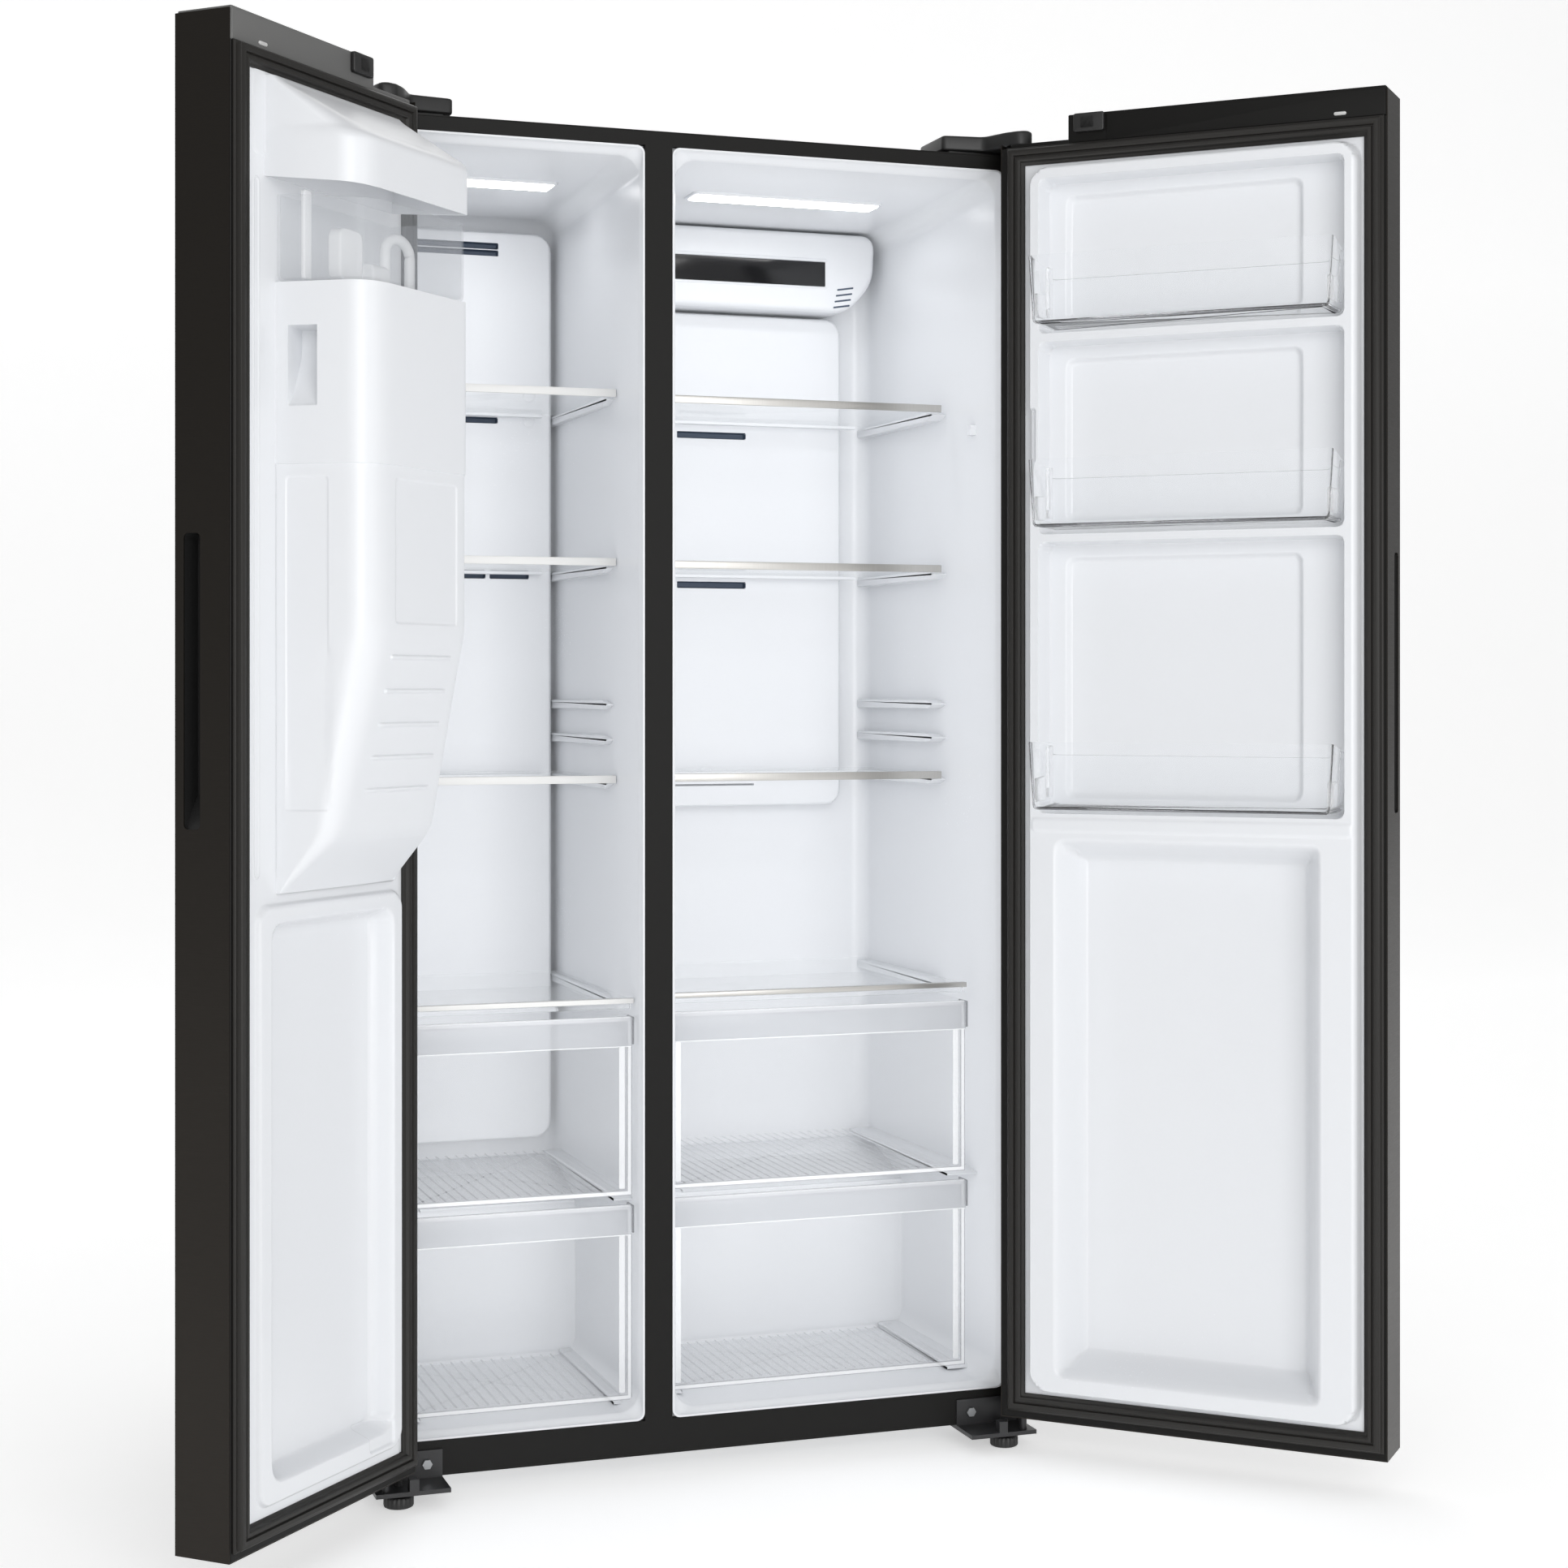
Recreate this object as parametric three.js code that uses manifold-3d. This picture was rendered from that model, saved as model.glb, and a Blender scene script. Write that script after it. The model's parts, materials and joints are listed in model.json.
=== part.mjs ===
// Side by side refrigerator with an ice and water dispenser in the freezer door.
// Millimetres, +Z up. The cabinet's front frame faces -Y and +X is on the right as seen from the front.
// The model stands on the floor at z = 0, and its origin is below the middle of its bounding box.
import * as THREE from "three";
import { ConvexGeometry } from "three/addons/geometries/ConvexGeometry.js";
import { mergeVertices } from "three/addons/utils/BufferGeometryUtils.js";
import Module from "manifold-3d";

const wasm = await Module();
wasm.setup();

// ---------------------------------------------------------------- driving dimensions
const GAP = 0.3; // clearance between pieces that touch
const CABINET = { half: 454, depth: 560, bottom: 26, top: 1745, sheet: 1.5 };
const FRAME = { depth: 10, top: 1726, bottom: 70.5, side: 422.5, mullionLeft: -84.7, mullionRight: -47.9 };
const DOOR = { bottom: 47, top: 1780, inner: 31, outer: -44, sheet: 1.5, hingeSide: -20.5, chamfer: 13 };
const HINGE_STEP = { reach: 74, height: 1748 }; // the door's top is lower under the hinge arm
const HINGE = { x: 431.5, y: -43, pinRadius: 5 };
const FOOT = { x: 412, y: -24 };
const LEFT_DOOR = { side: 1, width: 363.2, open: 133.6 };
const RIGHT_DOOR = { side: -1, width: 495.8, open: 136 };
const GASKET = { bottom: 57.5, top: 1742, hingeSide: -10.5, inset: 4, width: 25, thickness: 11.5 };
const LINER_WALL = 2.5;
const CAVITY = { back: 480, top: 1713, bottom: 80, bevelDepth: 16, radius: 28, draft: 10 };
const STEP = { front: 335, height: 300, shoulder: 345 }; // raised cavity floor over the machine space
const MACHINE = { front: 372, top: 250, back: 556 };
const SHELF_HEIGHTS = [1420, 1194, 903];
const SHELF = { thickness: 4, trimHeight: 9, trimDepth: 12 };
const COVER_HEIGHT = 614; // the glass over the drawers
const DRAWER = {
  wall: 2.5, lipHeight: 38, lipDepth: 10, radius: 14,
  upper: [357, 592], lower: [90, 346],
  freezer: [-392, -92], fridge: [-34, 391],
};
const RAIL_REACH = 24; // how far a ledge reaches in below a drawer
const FREEZER = {
  left: -FRAME.side,
  right: FRAME.mullionLeft,
  shelfFront: 118,
  drawerFront: 36,
  shelf: [-403, -91],
};
const FRIDGE = {
  left: FRAME.mullionRight,
  right: FRAME.side,
  shelfFront: 156,
  drawerFront: 60,
  shelf: [-36, 396],
};
const HOUSING = { near: 40, far: 281, depth: 147, slopeTop: 1086, slopeEnd: 850, bottom: 786 };
const ICE_BIN = { bottom: 1483, top: 1590 };
const HOOD = { bottom: 1600, top: 1716, front: 1646, frontBottom: 1588 };
const NICHE = { near: 78, far: 232, bottom: 1000, top: 1325, depth: 78 };
const DIKE = { height: 56, near: 24, far: 464, bottom: 90, top: 1712, ring: 17 };
const BIN = { near: 44, far: 444, front: 111, height: 88, bottoms: [1496, 1231, 863], wall: 2.2 };
const GRIP = { bottom: 862, top: 1194, inner: -9.8, outer: -32, reach: 26 };

// ---------------------------------------------------------------- materials
const finish = (color, roughness, metalness, opacity = 1) =>
  new THREE.MeshStandardMaterial({ color, roughness, metalness, opacity, transparent: opacity < 1 });
const darkSteel = finish(0x3a3633, 0.38, 0.85);
const framePaint = finish(0x2c2b28, 0.5, 0.3);
const whitePlastic = finish(0xe4e6ea, 0.35, 0);
const gasketRubber = finish(0x3b3935, 0.7, 0);
const blackPlastic = finish(0x151514, 0.5, 0);
const clearPlastic = finish(0xf2f5f8, 0.06, 0, 0.35);
const shelfGlass = finish(0xe8f1ee, 0.05, 0, 0.35);
const zincSteel = finish(0xa9abad, 0.4, 0.8);
const lightCover = finish(0xffffff, 0.4, 0);
const foamYellow = finish(0xd9c98c, 0.9, 0);
const enamelBlack = finish(0x1a1b1c, 0.45, 0.2);

// ---------------------------------------------------------------- solids
// A closed three.js geometry as a manifold solid.
function solid(geometry) {
  const bare = geometry.index ? geometry.toNonIndexed() : geometry.clone();
  bare.deleteAttribute("normal");
  bare.deleteAttribute("uv");
  const merged = mergeVertices(bare, 1e-4);
  const mesh = new wasm.Mesh({
    numProp: 3,
    vertProperties: merged.attributes.position.array,
    triVerts: new Uint32Array(merged.index.array),
  });
  return new wasm.Manifold(mesh);
}

function box(x0, x1, y0, y1, z0, z1) {
  const [w, d, h] = [Math.abs(x1 - x0), Math.abs(y1 - y0), Math.abs(z1 - z0)];
  return solid(new THREE.BoxGeometry(w, d, h).translate((x0 + x1) / 2, (y0 + y1) / 2, (z0 + z1) / 2));
}

// A rounded rectangle as a Shape, in any two axes.
function roundedShape(a0, a1, b0, b1, radius) {
  const shape = new THREE.Shape();
  const [left, right] = [Math.min(a0, a1), Math.max(a0, a1)];
  shape.absarc(right - radius, b0 + radius, radius, -Math.PI / 2, 0);
  shape.absarc(right - radius, b1 - radius, radius, 0, Math.PI / 2);
  shape.absarc(left + radius, b1 - radius, radius, Math.PI / 2, Math.PI);
  shape.absarc(left + radius, b0 + radius, radius, Math.PI, 1.5 * Math.PI);
  return shape;
}

function polygon(points) {
  return new THREE.Shape(points.map(([a, b]) => new THREE.Vector2(a, b)));
}

function extrude(shape, depth, curveSegments) {
  return new THREE.ExtrudeGeometry(shape, { depth, bevelEnabled: false, curveSegments });
}

// Prisms of a shape drawn in (y, z), (x, z) or (x, y), running along X, Y or Z.
function prismX(shape, x0, x1, segments = 4) {
  const turn = new THREE.Matrix4().set(0, 0, 1, Math.min(x0, x1), 1, 0, 0, 0, 0, 1, 0, 0, 0, 0, 0, 1);
  return solid(extrude(shape, Math.abs(x1 - x0), segments).applyMatrix4(turn));
}

function prismY(shape, y0, y1, segments = 4) {
  return solid(extrude(shape, y1 - y0, segments).rotateX(Math.PI / 2).translate(0, y1, 0));
}

function prismZ(shape, z0, z1, segments = 4) {
  return solid(extrude(shape, z1 - z0, segments).translate(0, 0, z0));
}

function cylinder(axis, x, y, z, radius, length, sides = 20) {
  const geometry = new THREE.CylinderGeometry(radius, radius, length, sides);
  if (axis === "x") geometry.rotateZ(Math.PI / 2);
  if (axis === "z") geometry.rotateX(Math.PI / 2);
  return solid(geometry.translate(x, y, z));
}

// The hull of two rounded rectangles in XZ, at two depths along Y.
function taperedBlock(front, back, radii, segments = 4) {
  const points = [];
  for (const [face, radius] of [[front, radii[0]], [back, radii[1]]]) {
    const outline = roundedShape(face.x0, face.x1, face.z0, face.z1, radius).getPoints(segments);
    outline.forEach((p) => points.push(new THREE.Vector3(p.x, face.y, p.y)));
  }
  return solid(new ConvexGeometry(points));
}

const grown = (face, by, backBy = 0) => ({
  x0: face.x0 - by,
  x1: face.x1 + by,
  z0: face.z0 - by,
  z1: face.z1 + by,
  y: face.y + backBy,
});

const joined = (pieces) => pieces.reduce((all, piece) => all.add(piece));

const product = new THREE.Group();

function part(name, piece, material, group = product) {
  const { vertProperties, triVerts } = piece.getMesh();
  const geometry = new THREE.BufferGeometry();
  geometry.setAttribute("position", new THREE.BufferAttribute(vertProperties, 3));
  geometry.setIndex(new THREE.BufferAttribute(triVerts, 1));
  geometry.computeVertexNormals();
  const mesh = new THREE.Mesh(geometry, material);
  mesh.name = name;
  group.add(mesh);
}

// ---------------------------------------------------------------- cabinet
function cabinetShell() {
  const { half, depth, bottom, top, sheet } = CABINET;
  const inside = box(-half + sheet, half - sheet, -1, depth + 1, bottom - 1, top - sheet);
  return box(-half, half, 0, depth, bottom, top).subtract(inside);
}

function frontFrame() {
  const edge = CABINET.half - CABINET.sheet - GAP;
  const lid = CABINET.top - CABINET.sheet - GAP;
  const opening = (x0, x1) => box(x0, x1, -1, FRAME.depth + 1, FRAME.bottom, FRAME.top);
  return box(-edge, edge, 0, FRAME.depth, CABINET.bottom, lid)
    .subtract(opening(FREEZER.left, FREEZER.right))
    .subtract(opening(FRIDGE.left, FRIDGE.right));
}

// The inside of a compartment: a bevel at the mouth, drafted walls and a raised floor at the back.
function cavity(room, by) {
  const lip = LINER_WALL + GAP - by;
  const mouth = {
    x0: room.left + lip,
    x1: room.right - lip,
    z0: FRAME.bottom + lip,
    z1: FRAME.top - lip,
    y: -GAP,
  };
  const innerLeft = room === FRIDGE ? room.left + 8 : room.left + 6;
  const innerRight = room === FRIDGE ? room.right - 8 : room.right - 4;
  const throat = { x0: innerLeft, x1: innerRight, z0: CAVITY.bottom, z1: CAVITY.top, y: CAVITY.bevelDepth };
  const rear = {
    x0: innerLeft + (room === FRIDGE ? 2 : CAVITY.draft),
    x1: innerRight - (room === FRIDGE ? CAVITY.draft : 2),
    z0: CAVITY.bottom,
    z1: CAVITY.top - CAVITY.draft,
    y: CAVITY.back,
  };
  const bevel = taperedBlock(mouth, grown(throat, by), [6, CAVITY.radius + by]);
  const corner = CAVITY.radius + by;
  const main = taperedBlock(grown(throat, by, -GAP), grown(rear, by, by), [corner, corner]);
  const floor = CAVITY.bottom - by;
  const step = polygon([
    [STEP.front + by, floor - 1],
    [STEP.front + by, STEP.height - by],
    [CAVITY.back + by + 1, STEP.shoulder - by],
    [CAVITY.back + by + 1, floor - 1],
  ]);
  return bevel.add(main).subtract(prismX(step, room.left - 20, room.right + 20));
}

// Ledges moulded in a liner's side walls, which carry the shelves and the drawers.
function wallLedges(room) {
  const { left, right } = { left: room.left + 4, right: room.right - 3 };
  const ledges = [];
  const reach = room === FRIDGE ? [9, 26] : [14, 8];
  for (const height of [...SHELF_HEIGHTS, COVER_HEIGHT, 1010, 962]) {
    const top = height - SHELF.thickness - GAP;
    const front = room.shelfFront + 14;
    const back = CAVITY.back + 1;
    ledges.push(box(left, left + reach[0] + 4, front, back, top - 14, top));
    ledges.push(box(right - reach[1] - 4, right, front, back, top - 14, top));
  }
  const runs = room === FRIDGE ? DRAWER.fridge : DRAWER.freezer;
  for (const [bottom, back] of [[DRAWER.upper[0], 470], [DRAWER.lower[0], STEP.front + 1]]) {
    const top = bottom - GAP;
    const front = room.drawerFront + 4;
    ledges.push(box(left, runs[0] + RAIL_REACH, front, back, top - 8, top));
    ledges.push(box(runs[1] - RAIL_REACH, right, front, back, top - 8, top));
  }
  return joined(ledges);
}

// The room a sprung switch needs in the fridge's right wall.
function switchPocket() {
  return box(408, 425, 71.5, 88.5, 1369.5, 1388.5);
}

function liner(room) {
  const ledges = wallLedges(room).intersect(cavity(room, LINER_WALL / 2));
  const mouthPlane = box(room.left, room.right, -1, 0.3, 0, CABINET.top);
  const switchHole = box(400, 430, 73.6, 86.4, 1371.6, 1386.4);
  const shell = cavity(room, LINER_WALL).subtract(cavity(room, 0));
  return shell.add(ledges).subtract(mouthPlane).subtract(switchHole);
}

function cabinetFoam() {
  const edge = CABINET.half - CABINET.sheet - GAP;
  const top = CABINET.top - CABINET.sheet - GAP;
  const block = box(-edge, edge, FRAME.depth + GAP, MACHINE.back - 1, 28 + GAP, top);
  const machineSpace = box(-edge - 1, edge + 1, MACHINE.front, MACHINE.back + 1, 0, MACHINE.top);
  const around = LINER_WALL + GAP;
  const rooms = cavity(FREEZER, around).add(cavity(FRIDGE, around));
  return block.subtract(machineSpace).subtract(rooms).subtract(switchPocket());
}

function backPanel() {
  const edge = CABINET.half - CABINET.sheet - GAP;
  const top = CABINET.top - CABINET.sheet - GAP;
  const panel = box(-edge, edge, MACHINE.back - 0.5, MACHINE.back + 0.7, MACHINE.top + 12, top);
  const ribs = [-280, -140, 0, 140, 280].map((x) =>
    box(x - 8, x + 8, MACHINE.back + 0.5, MACHINE.back + 3, MACHINE.top + 60, top - 60),
  );
  return panel.add(joined(ribs));
}

// Floor of the cabinet: base sheet, condensate tray rim, fan shroud and the caster wells.
function baseTray() {
  const edge = CABINET.half - CABINET.sheet - GAP;
  const sheet = box(-edge, edge, FRAME.depth + GAP, MACHINE.back - 1, CABINET.bottom, 28);
  const rim = box(-400, -60, 392, 545, 27, 48).subtract(box(-397, -63, 395, 542, 28, 60));
  const shroud = box(64, 67, 385, 548, 27, 236).subtract(cylinder("x", 65.5, 466, 132, 72, 20, 28));
  const wells = [-360, 360].map((x) => box(x - 16, x + 16, 452, 528, 20, 40));
  const cheeks = [-377, -343, 343, 377].map((x) => box(x - 1, x + 1, 478, 502, 10, 27));
  return joined([sheet, rim, shroud]).subtract(joined(wells)).add(joined(cheeks));
}

function rearCover() {
  const edge = CABINET.half - CABINET.sheet - GAP;
  const plate = box(-edge, edge, MACHINE.back + 0, MACHINE.back + 1.5, 29, MACHINE.top + 11);
  const slots = [];
  for (const x of [-340, -230, -120, 200, 310]) {
    for (let row = 0; row < 5; row++) {
      slots.push(box(x - 42, x + 42, MACHINE.back - 1, MACHINE.back + 3, 70 + row * 32, 80 + row * 32));
    }
  }
  return plate.subtract(joined(slots));
}

function compressor() {
  const outline = [
    [0, 0], [62, 0], [72, 10], [76, 40], [76, 110], [66, 140], [40, 158], [0, 162],
  ].map(([r, z]) => new THREE.Vector2(r, z));
  const can = solid(new THREE.LatheGeometry(outline, 20).rotateX(Math.PI / 2).translate(250, 466, 40));
  const feet = box(150, 350, 402, 530, 36, 41);
  const places = [[162, 414], [338, 414], [162, 518], [338, 518]];
  const pads = places.map(([x, y]) => cylinder("z", x, y, 32.2, 10, 7.6, 12));
  return joined([can, feet, ...pads]);
}

// A finned coil: one tube winding through flat fins.
function finnedCoil(x0, x1, y0, y1, z0, z1, passes, fins) {
  const middle = (y0 + y1) / 2;
  const pitch = (z1 - z0) / passes;
  const tubes = [];
  for (let i = 0; i < passes; i++) {
    tubes.push(cylinder("x", (x0 + x1) / 2, middle, z0 + (i + 0.5) * pitch, 5, x1 - x0, 6));
  }
  const plates = [];
  for (let i = 0; i < fins; i++) {
    const x = x0 + 12 + (i * (x1 - x0 - 24)) / (fins - 1);
    plates.push(box(x - 1, x + 1, y0, y1, z0, z1));
  }
  return joined([...tubes, ...plates]);
}

// A fan on an axis along X or Y: hub with twisted blades.
function fan(axis, x, y, z, radius, blades) {
  const hub = cylinder("y", 0, 0, 0, radius * 0.3, 16, 16);
  const pieces = [hub];
  for (let i = 0; i < blades; i++) {
    const blade = new THREE.BoxGeometry(radius * 0.78, 2, radius * 0.5);
    blade.rotateX(0.5).translate(radius * 0.61, 0, 0).rotateY((i * 2 * Math.PI) / blades);
    pieces.push(solid(blade));
  }
  const disc = cylinder("y", 0, 0, 0, radius, 60, 28);
  const wheel = joined(pieces).intersect(disc);
  const turned = axis === "x" ? wheel.rotate([0, 0, 90]) : wheel;
  return turned.translate([x, y, z]);
}

// ---------------------------------------------------------------- air ducts and lamps
function slots(xs, zs, height, y0, y1) {
  const cuts = [];
  for (const [x0, x1] of xs) {
    for (const z of zs) cuts.push(box(x0, x1, y0, y1, z, z + height));
  }
  return joined(cuts);
}

function freezerDuctPanel() {
  const face = prismY(roundedShape(-392, -101, 372, 1678, 26), 430, 433);
  const rim = prismY(roundedShape(-392, -101, 372, 1678, 26), 433, 479);
  const hollow = prismY(roundedShape(-389.5, -103.5, 374.5, 1675.5, 24), 432, 480);
  const vents = slots([[-300, -179]], [1649, 1657], 5.5, 428, 436)
    .add(slots([[-300, -180]], [1403], 7, 428, 436))
    .add(slots([[-320, -262], [-256, -198], [-192, -136]], [1180], 11, 428, 436));
  return face.add(rim.subtract(hollow)).subtract(vents);
}

function fridgeDuctPanel() {
  const face = prismY(roundedShape(-8, 352, 846, 1578, 20), 446, 449);
  const rim = prismY(roundedShape(-8, 352, 846, 1578, 20), 449, 479);
  const hollow = prismY(roundedShape(-5.5, 349.5, 848.5, 1575.5, 18), 448, 480);
  const vents = slots([[94, 201]], [1392, 1170], 9, 444, 452);
  return face.add(rim.subtract(hollow)).subtract(vents);
}

// The air hood above the duct, with a chamfered lower right corner and a recessed display strip.
function fridgeAirHood() {
  const outline = new THREE.Shape();
  outline.moveTo(-20, 1582);
  outline.lineTo(352, 1582);
  outline.lineTo(388, 1626);
  outline.lineTo(392, 1674);
  outline.absarc(366, 1674, 26, 0, Math.PI / 2);
  outline.lineTo(-20, 1700);
  const body = prismY(outline, 402, 478, 6);
  const hollow = box(-16, 346, 405, 480, 1585, 1690);
  const stripPocket = box(-12, 312, 400, 404, 1621, 1658);
  const grille = slots([[322, 346]], [1590, 1598, 1606, 1614], 2.5, 400, 407);
  return body.subtract(hollow).subtract(stripPocket).subtract(grille);
}

function ceilingLamp(x0, x1) {
  return prismZ(roundedShape(x0, x1, 200, 242, 3), 1703.5, 1707.8);
}

// ---------------------------------------------------------------- shelves and drawers
// A glass shelf with its front trim; the trim hangs a little below the glass.
function shelf(room, height, front, [x0, x1]) {
  const back = front === room.shelfFront ? CAVITY.back - (room === FRIDGE ? 40 : 54) : 440;
  const glass = box(x0, x1, front + 2, back, height - SHELF.thickness, height);
  const trim = box(x0, x1, front, front + SHELF.trimDepth, height - SHELF.trimHeight, height + 1.5);
  return glass.add(trim);
}

function coverShelf(room, x0, x1) {
  const front = room.drawerFront + (room === FRIDGE ? 8 : -4);
  const back = room === FRIDGE ? 470 : 425;
  const glass = box(x0, x1, front + 2, back, COVER_HEIGHT - SHELF.thickness, COVER_HEIGHT);
  const trim = box(x0, x1, front, front + SHELF.trimDepth, COVER_HEIGHT - 12, COVER_HEIGHT + 1.5);
  return glass.add(trim);
}

// An open drawer: thin walls, rounded lower edges at the sides and a pull lip along the front's top.
function drawer([x0, x1], front, back, [z0, z1]) {
  const { wall, lipHeight, lipDepth, radius } = DRAWER;
  const outer = prismY(roundedShape(x0, x1, z0, z1 + radius, radius), front, back);
  const hollow = roundedShape(x0 + wall, x1 - wall, z0 + wall, z1 + 2 * radius, radius - wall);
  const inner = prismY(hollow, front + wall, back - wall);
  const above = box(x0 - 1, x1 + 1, front - 1, back + 1, z1, z1 + 4 * radius);
  const lip = box(x0, x1, front - lipDepth, front + 1, z1 - wall, z1);
  const apron = box(x0, x1, front - lipDepth, front - lipDepth + wall, z1 - lipHeight, z1);
  return outer.subtract(inner).subtract(above).add(lip).add(apron);
}

// ---------------------------------------------------------------- hinges and feet
// Upper hinge: a low cover on the cabinet's roof, with the arm and pin over the door.
function upperHinge(side) {
  const roof = CABINET.top + GAP;
  const plan = polygon([
    [side * 336, 8], [side * 336, 92], [side * 400, 118], [side * 450, 118],
    [side * 450, 4], [side * (HINGE.x + 14), HINGE.y + 4], [side * (HINGE.x + 8), HINGE.y - 12],
    [side * (HINGE.x - 10), HINGE.y - 12], [side * (HINGE.x - 24), HINGE.y + 8], [side * 392, 0],
  ]);
  const body = prismZ(plan, roof + 4, roof + 24);
  const foot = box(side * 345, side * 448, 12, 110, roof, roof + 6);
  const pin = cylinder("z", side * HINGE.x, HINGE.y, roof + 2, HINGE.pinRadius, 34, 16);
  return joined([body, foot, pin]);
}

// Lower hinge: an angle bracket under the cabinet's front corner with a pin pointing up into the door.
function lowerHinge(side) {
  const plate = box(side * 352, side * 446, HINGE.y - 12, 60, 20, 25.5);
  const upright = box(side * 352, side * 440, -3, -GAP, 20, 60);
  const pin = cylinder("z", side * HINGE.x, HINGE.y, 38, HINGE.pinRadius, 36, 16);
  const stop = box(side * 392, side * 404, HINGE.y - 12, HINGE.y + 2, 24, 40);
  const footHole = cylinder("z", side * FOOT.x, FOOT.y, 22, 6, 30, 16);
  return joined([plate, upright, pin, stop]).subtract(footHole);
}

function levellingFoot(side) {
  const profile = [
    [0, 0], [17, 0], [19, 3], [19, 12], [16, 14], [9, 14.5], [9, 19], [5.5, 19.5], [5.5, 36], [0, 36],
  ].map(([r, z]) => new THREE.Vector2(r, z));
  return solid(new THREE.LatheGeometry(profile, 16).rotateX(Math.PI / 2).translate(side * FOOT.x, FOOT.y, 0));
}

function rearRoller(x) {
  return cylinder("x", x, 490, 16, 16, 18, 24).add(cylinder("x", x, 490, 16, 4, 31, 12));
}

// ---------------------------------------------------------------- door pieces
// Each is made in the closed door's own frame: s runs from the hinge axis to the free edge, y points
// into the cabinet, and side mirrors the right door.

// Plan outline of a door, inset by a distance. The corner beside the cabinet is chamfered so that it clears.
function doorPlan({ side, width }, by, yBack) {
  const { outer, hingeSide, chamfer } = DOOR;
  const near = hingeSide + by;
  const face = outer + by;
  const cut = chamfer - 0.6 * by;
  return polygon([
    [side * near, yBack], [side * near, face + cut], [side * (near + cut), face],
    [side * (width - by), face], [side * (width - by), yBack],
  ]);
}

function hingeStep(side) {
  const { inner, outer, hingeSide, top } = DOOR;
  const [near, far] = [side * (hingeSide - 2), side * HINGE_STEP.reach];
  return box(near, far, outer - 2, inner + 2, HINGE_STEP.height, top + 2);
}

function doorSkin(door) {
  const { side, width } = door;
  const { bottom, top, inner, outer, sheet } = DOOR;
  const full = prismZ(doorPlan(door, 0, inner - 1), bottom, top - 3);
  const inside = prismZ(doorPlan(door, sheet, inner + 1), bottom + sheet, top + 1);
  const opening = roundedShape(GRIP.outer, GRIP.inner, GRIP.bottom, GRIP.top, 6);
  const slot = prismX(opening, side * (width - 5), side * (width + 5));
  const pinHole = cylinder("z", 0, 0, bottom, HINGE.pinRadius + 1, 20, 16);
  const [near, far] = [side * (NICHE.near - 0.5), side * (NICHE.far + 0.5)];
  const niche = box(near, far, outer - 1, outer + 5, NICHE.bottom, NICHE.top);
  const skin = full.subtract(inside).subtract(slot).subtract(pinHole).subtract(hingeStep(side));
  return door === LEFT_DOOR ? skin.subtract(niche) : skin;
}

// The foamed core that fills a door behind its white inner face.
function doorCore(door) {
  const { side, width } = door;
  const { bottom, inner, sheet } = DOOR;
  const block = prismZ(doorPlan(door, sheet + GAP, inner), bottom + sheet + GAP, GASKET.top - 1);
  const [gripEnd, edge] = [side * (width - GRIP.reach - 6), side * width];
  const gripRoom = box(gripEnd, edge, GRIP.outer - 5, GRIP.inner + 5, GRIP.bottom - 8, GRIP.top + 8);
  const pinHoles = [bottom, GASKET.top].map((z) => cylinder("z", 0, 0, z, HINGE.pinRadius + 1, 60, 16));
  return block.subtract(gripRoom).subtract(joined(pinHoles));
}

function recess(side, [s0, s1], [z0, z1], mouthY, floorY, slope, radius = 22) {
  const [x0, x1] = [Math.min(side * s0, side * s1), Math.max(side * s0, side * s1)];
  const mouth = { x0, x1, z0, z1, y: mouthY + 0.5 };
  const floor = grown({ ...mouth, y: floorY }, -slope);
  return taperedBlock(floor, mouth, [Math.max(6, radius - slope / 2), radius]);
}

function leftDoorLiner() {
  const { side } = LEFT_DOOR;
  const panelY = DOOR.inner + 8;
  const plateau = taperedBlock(
    { x0: 20, x1: 306, z0: 94, z1: 774, y: DOOR.inner - 1 },
    { x0: 23, x1: 303, z0: 97, z1: 771, y: panelY },
    [24, 22],
  );
  const core = doorCore(LEFT_DOOR).add(plateau).subtract(recess(side, [36, 288], [118, 762], panelY, 10, 12));
  const chute = box(NICHE.near - 4, NICHE.far + 4, DOOR.outer, DOOR.inner + 1, NICHE.bottom - 5, 1440);
  return core.subtract(chute);
}

function rightDoorLiner() {
  const { side } = RIGHT_DOOR;
  const { height, near, far, bottom, top, ring } = DIKE;
  const x = (s) => side * s;
  const base = { x0: x(far), x1: x(near), z0: bottom, z1: top, y: DOOR.inner - 1 };
  const dike = taperedBlock(base, grown({ ...base, y: height }, -4), [30, 28]);
  const span = [near + ring, far - ring];
  const levels = [[1489, 1694], [1224, 1478], [856, 1214]];
  const pockets = levels.map((zs) => recess(side, span, zs, height, 16, 1, 7));
  const lower = recess(side, [61, 418], [112, 824], height, 4, 34, 16);
  return doorCore(RIGHT_DOOR).add(dike).subtract(joined([...pockets, lower]));
}

function gasket(door) {
  const { side, width } = door;
  const { bottom, top, hingeSide, inset, thickness } = GASKET;
  const ring = (by, y0, y1) =>
    box(side * (hingeSide + by), side * (width - inset - by), y0, y1, bottom + by, top - by);
  const y0 = DOOR.inner + GAP;
  const root = ring(0, y0, y0 + 5).subtract(ring(GASKET.width, y0 - 1, y0 + 6));
  const middle = ring(GASKET.width - 4, y0 - 1, y0 + thickness + 1);
  const lip = ring(3, y0 + 4, y0 + thickness - GAP).subtract(middle);
  return root.add(lip);
}

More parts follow.
